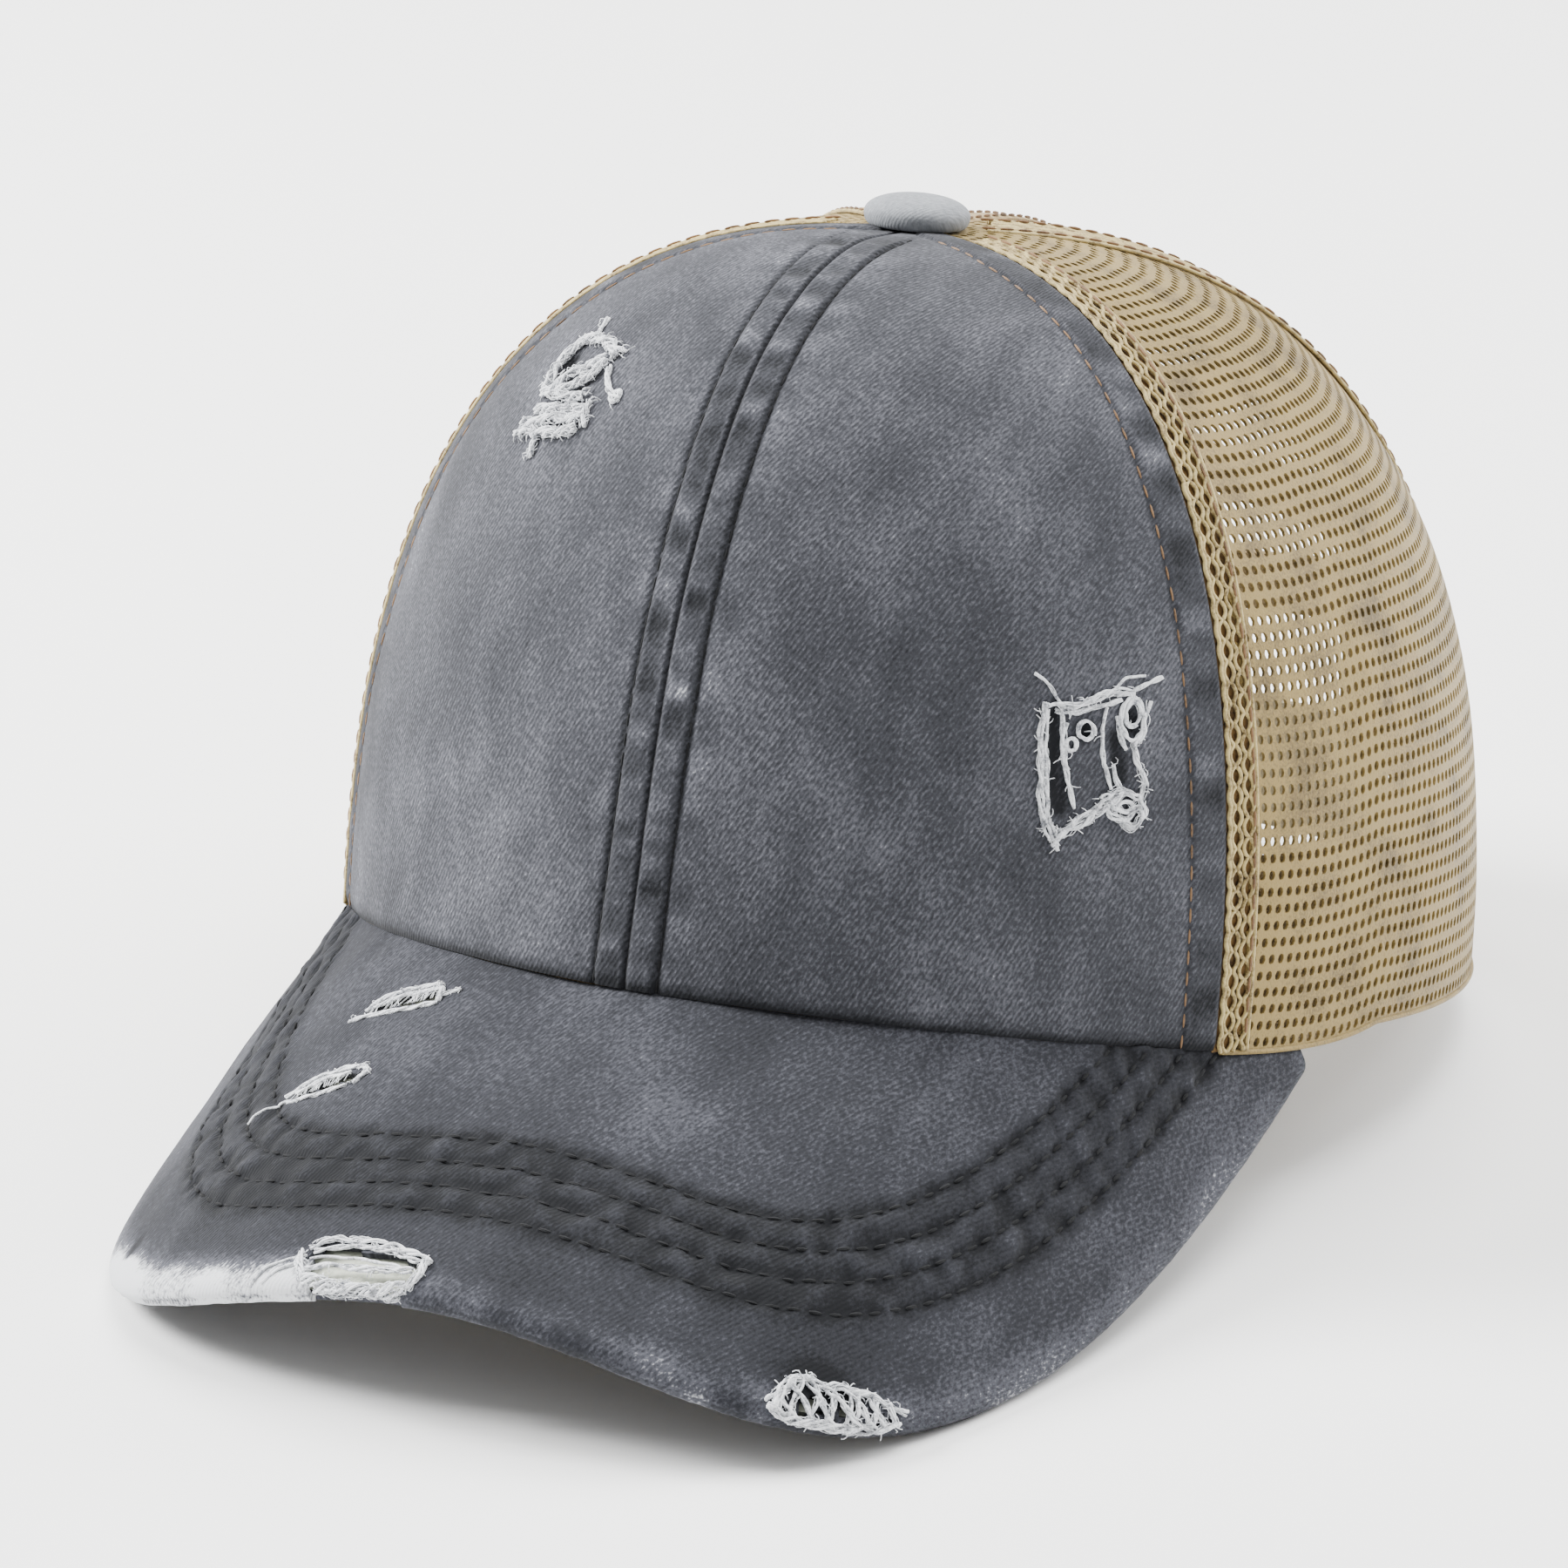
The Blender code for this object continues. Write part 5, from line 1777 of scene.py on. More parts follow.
@dataclass
class Visor:
    """The curved visor: top cloth rolled over a board, under cloth, four stitch rows and worn holes."""

    form: VisorForm
    columns: int = 270
    rows: int = 68
    roll_steps: int = 9
    roll_end: float = 165.0
    wall: float = 0.0009
    stitch_rows: tuple[float, ...] = (15.0, 19.4, 23.8, 28.2)
    holes: tuple[tuple[tuple[float, float], ...], ...] = (
        ((-43.0, -102.4), (-41.4, -101.0), (-33.0, -101.4), (-29.4, -102.4), (-29.4, -104.2),
         (-40.0, -103.2)),
        ((-46.6, -117.4), (-43.4, -116.0), (-38.4, -116.0), (-33.6, -117.2), (-34.4, -118.8),
         (-41.0, -118.8)),
        ((-21.0, -153.4), (-16.0, -153.2), (-9.8, -153.8), (-3.0, -155.0), (-2.6, -158.6), (-6.0, -163.5),
         (-17.0, -163.5), (-19.6, -158.6)),
        ((55.0, -146.4), (57.4, -144.6), (58.6, -145.6), (56.2, -147.8)),
        ((60.0, -143.0), (62.4, -141.0), (63.4, -142.0), (61.0, -144.2)),
        ((65.0, -139.6), (67.4, -137.8), (68.2, -138.8), (66.0, -140.8)),
    )

    def top_sheet(self) -> tuple[Sheet, np.ndarray, np.ndarray, np.ndarray]:
        """The top cloth before it has its wall.

        Returns:
            The sheet, its flat coordinates u and y and the distance from the outline, in millimetres.
        """
        form = self.form
        inner, outer = form.edges(form.cloth, form.roll, self.columns)
        along = np.gradient(outer, axis=0)
        outward = np.stack([along[:, 1], -along[:, 0]], axis=1)
        outward /= np.linalg.norm(outward, axis=1)[:, None]
        flats, depths = [], []
        for r in range(self.rows + 1):
            flats.append(inner + (outer - inner) * (r / self.rows))
            depths.append(0.0)
        for k in range(1, self.roll_steps + 1):
            turn = math.radians(self.roll_end) * k / self.roll_steps
            flats.append(outer + outward * form.roll * math.sin(turn))
            depths.append(form.roll * (1 - math.cos(turn)))
        flats, depths = np.array(flats)[::-1], depths[::-1]
        points = np.array([[tuple(form.point(float(u), float(y), depth)) for u, y in row]
                           for row, depth in zip(flats, depths)])
        sheet = Sheet.measured(points)
        u, y = flats[:, :, 0] / MM, flats[:, :, 1] / MM
        outline = np.array([form.outline(s) for s in np.linspace(-1, 1, 121)]) / MM
        gap = distance_to_line(u, y, outline)
        sheet.across, sheet.up = u.copy(), y.copy()
        step = form.roll / MM * math.radians(self.roll_end) / self.roll_steps
        extra = np.cumsum([0.0] + [step] * self.roll_steps)
        sheet.up[:self.roll_steps + 1] = y[self.roll_steps] - extra[::-1][:, None]
        return sheet, u, y, gap

    def relief(self, u: np.ndarray, y: np.ndarray, gap: np.ndarray) -> np.ndarray:
        """Height of the quilting and the cloth's waves, in millimetres.

        Args:
            u: flat places across, in millimetres.
            y: flat places forward, in millimetres.
            gap: distance from the visor's outline, in millimetres.

        Returns:
            Height in millimetres.
        """
        height = 0.28 * cloud(u, y, 22.0, 6.1) + 0.09 * cloud(u, y, 6.0, 6.7)
        height = height - 0.60 * self.dimples(u, y, gap)
        puffed = ramp(gap, self.stitch_rows[0] - 2.5, self.stitch_rows[0]) * ramp(
            gap, self.stitch_rows[-1] + 2.5, self.stitch_rows[-1])
        return height + puffed * (0.22 + 0.38 * cloud(u, y, 3.4, 8.0))

    def dimples(self, u: np.ndarray, y: np.ndarray, gap: np.ndarray) -> np.ndarray:
        """Where the stitches pull the cloth in: deepest at each stitch.

        Args:
            u: flat places across, in millimetres.
            y: flat places forward, in millimetres.
            gap: distance from the visor's outline, in millimetres.

        Returns:
            Depth, 0 to 1.
        """
        turn = np.arctan2(u, -y + self.form.root_y / MM) * 96.0
        pulls = 0.62 + 0.38 * np.cos(2 * np.pi * turn / 3.6)
        return sum(line_dent(gap, place, 0.7) for place in self.stitch_rows) * pulls

    def build(self, bench: Bench) -> Ground:
        """Make the cloths and their stitches.

        Args:
            bench: the shared trees and finishes.

        Returns:
            The top cloth without its holes, for the frayed yarns.
        """
        sheet, u, y, gap = self.top_sheet()
        flat_part = np.zeros(u.shape)
        flat_part[self.roll_steps:] = 1.0
        steps = np.arange(u.shape[0])[:, None]
        rolled = np.clip((self.roll_steps + 1.0 - steps) / self.roll_steps, 0.0, 1.0) + np.zeros_like(u)
        height = self.relief(u, y, gap) * flat_part * ramp(gap, 1.5, 5.0)
        height = height + 0.10 * cloud(u * 2, y * 2, 4.0, 2.2) * rolled - 0.35 * line_dent(rolled, 0.70, 0.07)
        sheet.raise_by(height)
        sheet.wear_and_shade = self.wear_and_shade(u, y, gap, rolled)
        middle_u = (u[:-1, :-1] + u[1:, 1:]) / 2
        middle_y = (y[:-1, :-1] + y[1:, 1:]) / 2
        ragged_u = middle_u + 0.5 * cloud(middle_u, middle_y, 1.6, 1.0)
        ragged_y = middle_y + 0.5 * cloud(middle_u, middle_y, 1.6, 2.0)
        torn = np.zeros(middle_u.shape, bool)
        for hole in self.holes:
            torn |= inside_polygon(ragged_u, ragged_y, hole)
        whole = Ground([sheet.build("visor_guide")])
        bpy.data.objects.remove(bpy.data.objects["visor_guide"])
        top = thicken(sheet.build("visor_top_cloth", torn), self.wall)
        rows = [self.path(place, whole) for place in self.stitch_rows]
        finish_piece(top, ["visor_top"], bench.material("visor_twill"))
        bench.stitch("visor_stitches", rows, "grey_thread_painted_shade", 3.1, 2.2, 0.62)
        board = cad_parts["visor_board"]
        board.data.materials.clear()
        board.data.materials.append(bench.material("board"))
        self.under(bench)
        return whole

    def wear_and_shade(self, u: np.ndarray, y: np.ndarray, gap: np.ndarray, rolled: np.ndarray) -> np.ndarray:
        """Where the cloth is worn pale, and where shade is painted into it.

        Args:
            u: flat places across, in millimetres.
            y: flat places forward, in millimetres.
            gap: distance from the visor's outline, in millimetres.
            rolled: how far a point has gone round the edge, 0 to 1.

        Returns:
            Above 0 where the cloth is worn pale, below 0 where it is darker: painted shade in the stitch
            dimples, the rolled edge's crease, behind the second tear and in a small cut at the left corner,
            with a darker quilted band and front.
        """
        edge, bleached = ramp(gap, 6.5, 1.2), ramp(gap, 9.0, 0.8)
        front_left = ramp(u, 4.0, -16.0) * ramp(-y, 122.0, 140.0)
        near = ramp(np.hypot(u - 57.0, y + 150.0), 30.0, 8.0)
        patches = ramp(cloud(u, y, 7.0, 3.3), -0.5, 0.5)
        pale = edge * (0.35 + 0.5 * near * patches + 0.15 * patches) + 1.35 * front_left * bleached
        pale = pale + 0.9 * ramp(np.hypot(u + 63.0, y + 144.0), 13.0, 3.0) * edge
        # The stitch dimples are made darker below, as painted shade
        sewn = self.dimples(u, y, gap)
        quilt = ramp(gap, self.stitch_rows[0] - 3, self.stitch_rows[0]) * ramp(
            gap, self.stitch_rows[-1] + 3, self.stitch_rows[-1])
        pucker = cloud(u, y, 3.4, 8.0)
        # Painted shade in the hollow behind the second tear's raised yarns
        behind = ramp(np.hypot((u - 60.0) / 1.6, y + 144.5), 7.0, 4.0) * ramp(gap, 1.0, 3.0)
        # Painted shade of a small cut in the edge at the left corner, which has no relief of its own
        notch_shade = line_dent(np.hypot((u + 64.0) / 1.0, (y + 136.5) / 2.6), 0.0, 0.8)
        # Painted shade: the dimples, the crease on the rolled edge, the hollow and the cut
        return (pale * (0.80 + 0.20 * patches) - 0.7 * sewn + quilt * (0.42 * pucker - 0.45)
                - 0.30 * ramp(-y, 118.0, 136.0)
                - 0.4 * line_dent(rolled, 0.70, 0.06) - 0.9 * behind - 1.6 * notch_shade)

    def path(self, distance: float, ground: Ground) -> list[tuple[Vector, Vector]]:
        """A stitch row at one distance from the outline, ending where it meets the crown.

        Args:
            distance: from the outline, in millimetres.
            ground: the finished surface.

        Returns:
            Points with their normals.
        """
        form = self.form
        line = evenly(form.outer_edge(-0.030, distance * MM), 400)
        path = []
        for u, y in line.tolist():
            place = form.point(u, y, 0.0)
            turn = math.atan2(place.x / form.crown.half_width, -place.y / form.crown.front)
            rim_x, rim_y = form.crown.rim_plan(turn)
            if math.hypot(place.x, place.y) > math.hypot(rim_x, rim_y) + 0.0002:
                path.append(ground.lay(place, 0.0, form.normal(u)))
        return path

    def under(self, bench: Bench) -> None:
        """The under cloth with its own side of the stitch rows.

        Args:
            bench: the shared trees and finishes.
        """
        form = self.form
        depth = form.cloth + 2 * form.gap + form.board
        inner, outer = form.edges(depth + form.cloth, form.roll * 0.8, 110)
        rows = 30
        flats = np.array([inner + (outer - inner) * (r / rows) for r in range(rows + 1)])
        points = np.array([[tuple(form.point(float(u), float(y), depth + form.cloth)) for u, y in row]
                           for row in flats])
        sheet = Sheet.measured(points)
        u, y = flats[:, :, 0] / MM, flats[:, :, 1] / MM
        outline = np.array([form.outline(s) for s in np.linspace(-1, 1, 121)]) / MM
        gap = distance_to_line(u, y, outline)
        sheet.across, sheet.up = u, y
        dents = sum(line_dent(gap, place, 0.7) for place in self.stitch_rows)
        sheet.raise_by(0.2 - 0.3 * dents + 0.08 * cloud(u, y, 6.0, 4.4))
        # Darker at the stitch dents is painted shade; paler near the edge is where the cloth is worn
        sheet.wear_and_shade = -0.3 * dents + 0.2 * ramp(gap, 5.0, 2.0)
        obj = thicken(sheet.build("visor_under_cloth"), self.wall)
        ground = Ground([obj])
        below = []
        for place in self.stitch_rows:
            path = []
            for u0, y0 in evenly(form.outer_edge(-0.036, place * MM), 300).tolist():
                spot = form.point(u0, y0, depth + form.cloth)
                turn = math.atan2(spot.x / form.crown.half_width, -spot.y / form.crown.front)
                if math.hypot(spot.x, spot.y) > math.hypot(*form.crown.rim_plan(turn)):
                    path.append(ground.lay(spot, 0.0, -form.normal(u0)))
            below.append(path)
        finish_piece(obj, ["visor_under"], bench.material("visor_twill"))
        bench.stitch("visor_under_stitches", below, "grey_thread_painted_shade", 3.1, 2.3, 0.45)


@dataclass
class WornPatches:
    """Frayed places: a torn square and a tuft on the crown, two slits and two torn edges on the visor."""

    crown: CrownForm
    form: VisorForm

    gaps = {Side.LEFT: (((40.9, 43.7), (40.9, 37.8), (41.5, 30.6)), ((47.3, 40.6), (47.8, 34.7)),
                        ((44.2, 41.6), (44.2, 41.2)), ((49.0, 43.4), (49.2, 41.6))),
            Side.RIGHT: (((-36.4, 83.6), (-35.6, 80.6)), ((-29.6, 77.4), (-27.6, 77.2)))}

    @classmethod
    def sink_and_shade(cls, sheet: Sheet, crown: CrownForm, side: Side) -> None:
        """Sink the cloth where it has worn through inside a patch, and paint the shade of the slit into its
        colour.

        Args:
            sheet: the panel.
            crown: the crown's form.
            side: which panel.
        """
        depth = np.zeros(sheet.wear_and_shade.shape)
        for line in cls.gaps[side]:
            spots = np.array([tuple(crown.at(*place)) for place in line])
            for spot in evenly(spots, 14):
                away = np.linalg.norm(sheet.points - spot, axis=2) / (1.1 * MM)
                depth = np.maximum(depth, np.exp(-away ** 2))
        # Painted shade: the dark colour stands for the shaded backing seen through each slit
        sheet.wear_and_shade = sheet.wear_and_shade - 1.6 * depth
        sheet.raise_by(-0.7 * depth)

    def on_crown(self, *places: tuple[float, float]) -> list[Vector]:
        """Points of the crown from angles in degrees and heights in millimetres."""
        return [self.crown.at(*place) for place in places]

    def on_visor(self, *places: tuple[float, float]) -> list[Vector]:
        """Points of the visor from its flat coordinates in millimetres."""
        return [self.form.point(u * MM, y * MM, 0.0) for u, y in places]

    def square(self, ground: Ground) -> Fray:
        """The torn square on the wearer's left panel.

        Args:
            ground: the finished surface.

        Returns:
            The frayed yarns.
        """
        fray = Fray(ground, SEED + 1)
        for places, plies, radius, fibres, loose in (
                (((40.0, 45.4), (39.5, 41.1), (39.6, 37.2), (39.5, 33.2), (39.8, 29.5), (40.6, 26.1)),
                 3, 0.34, 20, 26),
                (((40.4, 44.4), (40.1, 41.0), (40.3, 37.0), (40.2, 33.0), (40.4, 28.0)), 2, 0.26, 10, 8),
                (((41.6, 44.6), (41.8, 41.2), (41.9, 37.0), (42.5, 33.9), (43.0, 30.5)), 2, 0.23, 6, 4),
                (((42.2, 42.6), (41.9, 39.6), (42.1, 36.0)), 2, 0.23, 4, 3),
                (((40.2, 44.8), (43.0, 44.9), (45.8, 46.2), (47.8, 46.9), (49.4, 46.6)), 3, 0.34, 16, 16),
                (((41.0, 44.2), (43.6, 44.0), (46.0, 45.0), (48.0, 45.6)), 2, 0.25, 8, 6),
                (((47.0, 46.7), (48.6, 48.6), (50.8, 48.9)), 1, 0.12, 1, 0),
                (((47.6, 46.0), (50.0, 47.2), (52.6, 48.6)), 2, 0.18, 2, 0),
                (((38.9, 49.4), (40.6, 47.6), (41.6, 45.4)), 2, 0.16, 2, 0),
                (((46.6, 44.6), (45.9, 41.5), (45.8, 39.2), (46.3, 35.8), (46.8, 33.1)), 2, 0.21, 5, 3),
                (((51.0, 45.4), (50.4, 41.2), (49.2, 39.2), (49.4, 36.8), (50.4, 34.0), (50.0, 31.5)),
                 2, 0.33, 12, 14),
                (((47.6, 43.4), (47.8, 40.4), (48.4, 38.6)), 2, 0.20, 3, 2),
                (((47.2, 36.6), (47.4, 34.8), (47.8, 33.2)), 2, 0.20, 4, 3),
                (((40.6, 25.6), (42.5, 27.4), (44.8, 29.2), (46.5, 31.0), (48.0, 32.4)), 3, 0.37, 18, 18),
                (((40.6, 26.8), (42.5, 28.2), (44.8, 30.0), (46.2, 31.6)), 2, 0.29, 8, 6),
                (((40.4, 29.0), (41.0, 26.6), (41.4, 24.6)), 2, 0.33, 6, 8),
                (((46.2, 32.4), (46.6, 29.6), (48.8, 27.6), (50.2, 29.4), (49.8, 32.4)), 3, 0.45, 16, 18),
                (((46.8, 31.0), (48.2, 29.4), (49.6, 30.6)), 3, 0.41, 10, 8),
                (((45.6, 31.8), (47.8, 32.8), (49.6, 31.8)), 2, 0.37, 8, 8)):
            fray.rope(self.on_crown(*places), plies, radius, fibres, loose)
        for degrees, z, wide, tall in ((44.2, 41.4, 1.2, 1.35), (42.7, 39.4, 0.8, 0.9),
                                       (49.1, 42.9, 1.9, 3.1), (49.2, 43.6, 1.1, 1.8),
                                       (48.2, 29.9, 1.5, 1.4)):
            self.ring(fray, degrees, z, wide, tall)
        return fray

    def ring(self, fray: Fray, degrees: float, z: float, wide: float, tall: float) -> None:
        """A loop of yarn on the crown, its size in millimetres.

        Args:
            fray: what gathers the yarns.
            degrees: angle from the front.
            z: height in millimetres.
            wide: its half width.
            tall: its half height.
        """
        centre = self.crown.at(degrees, z)
        across = (self.crown.at(degrees + 1, z) - centre).normalized() * (wide * MM)
        up = (self.crown.at(degrees, z + 1) - centre).normalized() * (tall * MM)
        fray.loop(centre, across, up, 2, 0.2)

    def tuft(self, ground: Ground) -> Fray:
        """The frayed tuft high on the wearer's right panel.

        Args:
            ground: the finished surface.

        Returns:
            The frayed yarns.
        """
        fray = Fray(ground, SEED + 2)
        for places, plies, radius, fibres, loose in (
                (((-36.4, 78.6), (-37.4, 81.3), (-38.0, 83.4), (-37.4, 85.4), (-35.0, 86.4), (-31.0, 86.6)),
                 4, 0.55, 30, 26),
                (((-32.6, 86.6), (-29.6, 86.6), (-26.4, 85.2)), 4, 0.55, 18, 18),
                (((-34.6, 86.4), (-36.0, 88.0), (-36.8, 89.2)), 2, 0.21, 4, 4),
                (((-28.4, 86.2), (-26.6, 86.2), (-25.0, 86.0)), 2, 0.34, 6, 8),
                (((-34.4, 78.8), (-33.0, 81.2), (-30.0, 83.2), (-27.8, 84.8)), 4, 0.59, 26, 20),
                (((-32.6, 78.8), (-30.0, 80.4), (-28.0, 82.4), (-26.8, 84.4)), 4, 0.59, 22, 18),
                (((-26.0, 84.0), (-24.4, 82.2), (-22.0, 80.8), (-19.8, 80.2)), 3, 0.32, 8, 3),
                (((-36.0, 78.2), (-33.0, 78.4), (-29.6, 78.8), (-26.4, 79.4)), 4, 0.55, 24, 18),
                (((-34.6, 75.8), (-31.0, 77.0), (-27.6, 77.8), (-24.8, 77.8)), 4, 0.51, 24, 20),
                (((-35.4, 73.6), (-31.6, 74.8), (-27.4, 76.0), (-24.2, 76.8)), 4, 0.64, 30, 28),
                (((-34.8, 72.4), (-31.0, 73.2), (-27.4, 73.8), (-24.4, 75.2)), 4, 0.55, 28, 30),
                (((-36.2, 71.8), (-34.8, 73.0), (-32.0, 74.0)), 3, 0.34, 10, 12),
                (((-30.2, 69.8), (-30.8, 71.2), (-31.2, 73.0)), 3, 0.36, 8, 12),
                (((-24.8, 79.2), (-24.4, 77.4), (-23.4, 75.6)), 3, 0.42, 10, 14)):
            fray.rope(self.on_crown(*places), plies, radius, fibres, loose, 0.1, 2.0)
        for degrees, z, wide, tall in ((-29.4, 77.4, 0.9, 0.7), (-20.8, 80.6, 0.8, 1.0),
                                       (-32.6, 76.0, 0.8, 0.6)):
            self.ring(fray, degrees, z, wide, tall)
        return fray

    def slits(self, ground: Ground) -> Fray:
        """The two slits on the visor.

        Args:
            ground: the finished surface.

        Returns:
            The frayed yarns.
        """
        fray = Fray(ground, SEED + 3, self.form.normal(-0.04))
        for places, plies, radius, fibres, loose in (
                (((-42.8, -102.2), (-41.6, -100.4), (-36.5, -100.2), (-31.0, -100.8)), 3, 0.27, 16, 10),
                (((-41.6, -101.8), (-36.4, -101.2), (-30.4, -101.8)), 3, 0.23, 12, 4),
                (((-45.6, -102.8), (-40.5, -103.8), (-33.5, -104.8), (-29.0, -104.8)), 2, 0.24, 8, 4),
                (((-31.4, -100.6), (-29.6, -102.2), (-29.0, -104.6)), 3, 0.29, 12, 14),
                (((-29.4, -103.6), (-27.8, -102.8), (-26.4, -102.5)), 2, 0.23, 6, 6),
                (((-48.0, -117.0), (-46.2, -115.6), (-43.0, -115.1), (-38.4, -115.2), (-34.4, -116.0)),
                 3, 0.24, 12, 8),
                (((-46.4, -116.8), (-42.0, -116.1), (-36.6, -116.5)), 2, 0.20, 8, 2),
                (((-48.6, -118.0), (-41.0, -119.5), (-35.6, -119.6)), 2, 0.23, 8, 3),
                (((-35.0, -115.8), (-32.8, -117.4), (-34.6, -119.4)), 3, 0.26, 10, 8),
                (((-54.0, -118.8), (-51.2, -117.9), (-47.6, -117.8)), 1, 0.09, 1, 0)):
            fray.rope(self.on_visor(*places), plies, radius, fibres, loose, -0.1, 1.1)
        for (u0, y0), (u1, y1), count, drop in (((-42.0, -101.6), (-30.5, -102.0), 34, 1.5),
                                                ((-46.5, -116.4), (-35.4, -116.8), 28, 1.5)):
            for _ in range(count):
                share = fray.chance.random()
                u, y = u0 + (u1 - u0) * share, y0 + (y1 - y0) * share
                slant = fray.chance.uniform(-1.4, 1.4)
                frames = fray.frames(self.on_visor((u, y + 0.6), (u + slant, y - drop)))
                fray.fibres.append(fray.strand(frames, 0.1, 0.0, 0.2, 0.15))
        return fray

    def first_tear(self, ground: Ground) -> Fray:
        """The torn place on the visor's edge, left of the middle in the front view.

        Args:
            ground: the finished surface.

        Returns:
            The frayed yarns.
        """
        fray = Fray(ground, SEED + 4)
        for places, plies, radius, fibres, loose, lift in (
                (((-21.4, -153.4), (-19.6, -152.4), (-14.0, -152.2), (-8.0, -153.0), (-1.6, -154.8)),
                 3, 0.42, 20, 10, 0.0),
                (((-20.4, -154.0), (-14.0, -153.0), (-8.0, -153.8), (-3.4, -155.0)), 2, 0.3, 10, 4, -0.2),
                (((-21.8, -154.0), (-21.4, -156.6), (-19.4, -159.2)), 3, 0.45, 14, 12, 0.0),
                (((-20.4, -155.2), (-16.0, -155.0), (-10.0, -155.6), (-5.0, -156.4)), 1, 0.2, 3, 0, -0.4),
                (((-20.0, -156.8), (-15.0, -157.0), (-9.0, -157.4), (-3.4, -156.8)), 3, 0.42, 14, 8, -0.1),
                (((-19.4, -158.8), (-14.0, -160.4), (-8.0, -160.8), (-3.0, -159.6)), 4, 0.75, 34, 22, 0.0),
                (((-17.0, -160.8), (-12.0, -161.8), (-7.0, -161.6)), 3, 0.7, 22, 16, 0.0),
                (((-2.4, -154.6), (-2.0, -157.2), (-2.8, -159.8)), 3, 0.42, 12, 8, 0.0),
                (((-6.4, -161.4), (-5.0, -162.4), (-3.6, -161.8)), 2, 0.5, 10, 8, 0.1),
                (((-28.4, -158.6), (-26.8, -156.2), (-23.8, -154.9), (-21.2, -154.6)), 1, 0.15, 1, 0, 0.0),
                (((-26.6, -158.9), (-24.8, -156.9), (-22.4, -156.2)), 1, 0.15, 1, 0, 0.0)):
            fray.rope(self.on_visor(*places), plies, radius, fibres, loose, lift, 1.3)
        return fray

    def second_tear(self, ground: Ground) -> Fray:
        """The torn place on the visor's edge, right of the middle, laced across with yarns.

        Args:
            ground: the finished surface.

        Returns:
            The frayed yarns.
        """
        fray = Fray(ground, SEED + 5)
        upper = ((51.4, -150.4), (52.4, -146.0), (54.4, -143.4), (57.0, -142.8), (59.4, -140.4),
                 (62.8, -138.6), (66.2, -136.8), (69.4, -135.2))
        lower = ((51.6, -151.0), (55.4, -149.8), (59.2, -147.4), (63.0, -144.6), (66.6, -141.0),
                 (70.0, -137.0))
        fray.rope(self.on_visor(*upper), 3, 0.42, 34, 26)
        fray.rope(self.on_visor(*lower), 4, 0.5, 34, 20)
        top, bottom = evenly(self.on_visor(*upper), 40), evenly(self.on_visor(*lower), 40)
        for first, last, plies, radius in ((3, 10, 2, 0.3), (6, 3, 2, 0.35), (8, 15, 2, 0.35),
                                           (12, 6, 2, 0.3), (13, 19, 2, 0.4), (17, 12, 1, 0.2),
                                           (18, 27, 3, 0.42), (21, 17, 2, 0.3), (23, 31, 2, 0.36),
                                           (27, 24, 2, 0.3), (29, 34, 2, 0.36), (32, 29, 2, 0.3),
                                           (34, 37, 2, 0.4), (10, 1, 2, 0.3), (25, 22, 1, 0.25)):
            line = [Vector(top[first].tolist()), Vector(((top[first] + bottom[last]) / 2).tolist()),
                    Vector(bottom[last].tolist())]
            fray.rope(line, plies, radius, 6, 3, 0.1)
        return fray

    def build(self, panels: Ground, visor: Ground, bench: Bench) -> None:
        """Lay the yarns of every patch.

        Args:
            panels: the crown's front panels.
            visor: the visor's top cloth.
            bench: the shared trees and finishes.
        """
        for name, fray, slot in (("square", self.square(panels), "grey_twill"),
                                 ("tuft", self.tuft(panels), "grey_twill"),
                                 ("slits", self.slits(visor), "visor_twill"),
                                 ("first_tear", self.first_tear(visor), "visor_twill"),
                                 ("second_tear", self.second_tear(visor), "visor_twill")):
            bench.thread("frayed_" + name + "_yarns", fray.yarns, "white_yarn_painted_shade", 0.22, 0.45, 6)
            bench.thread("frayed_" + name + "_fibres", fray.fibres, "white_yarn_painted_shade", 0.085, 0.45, 3)


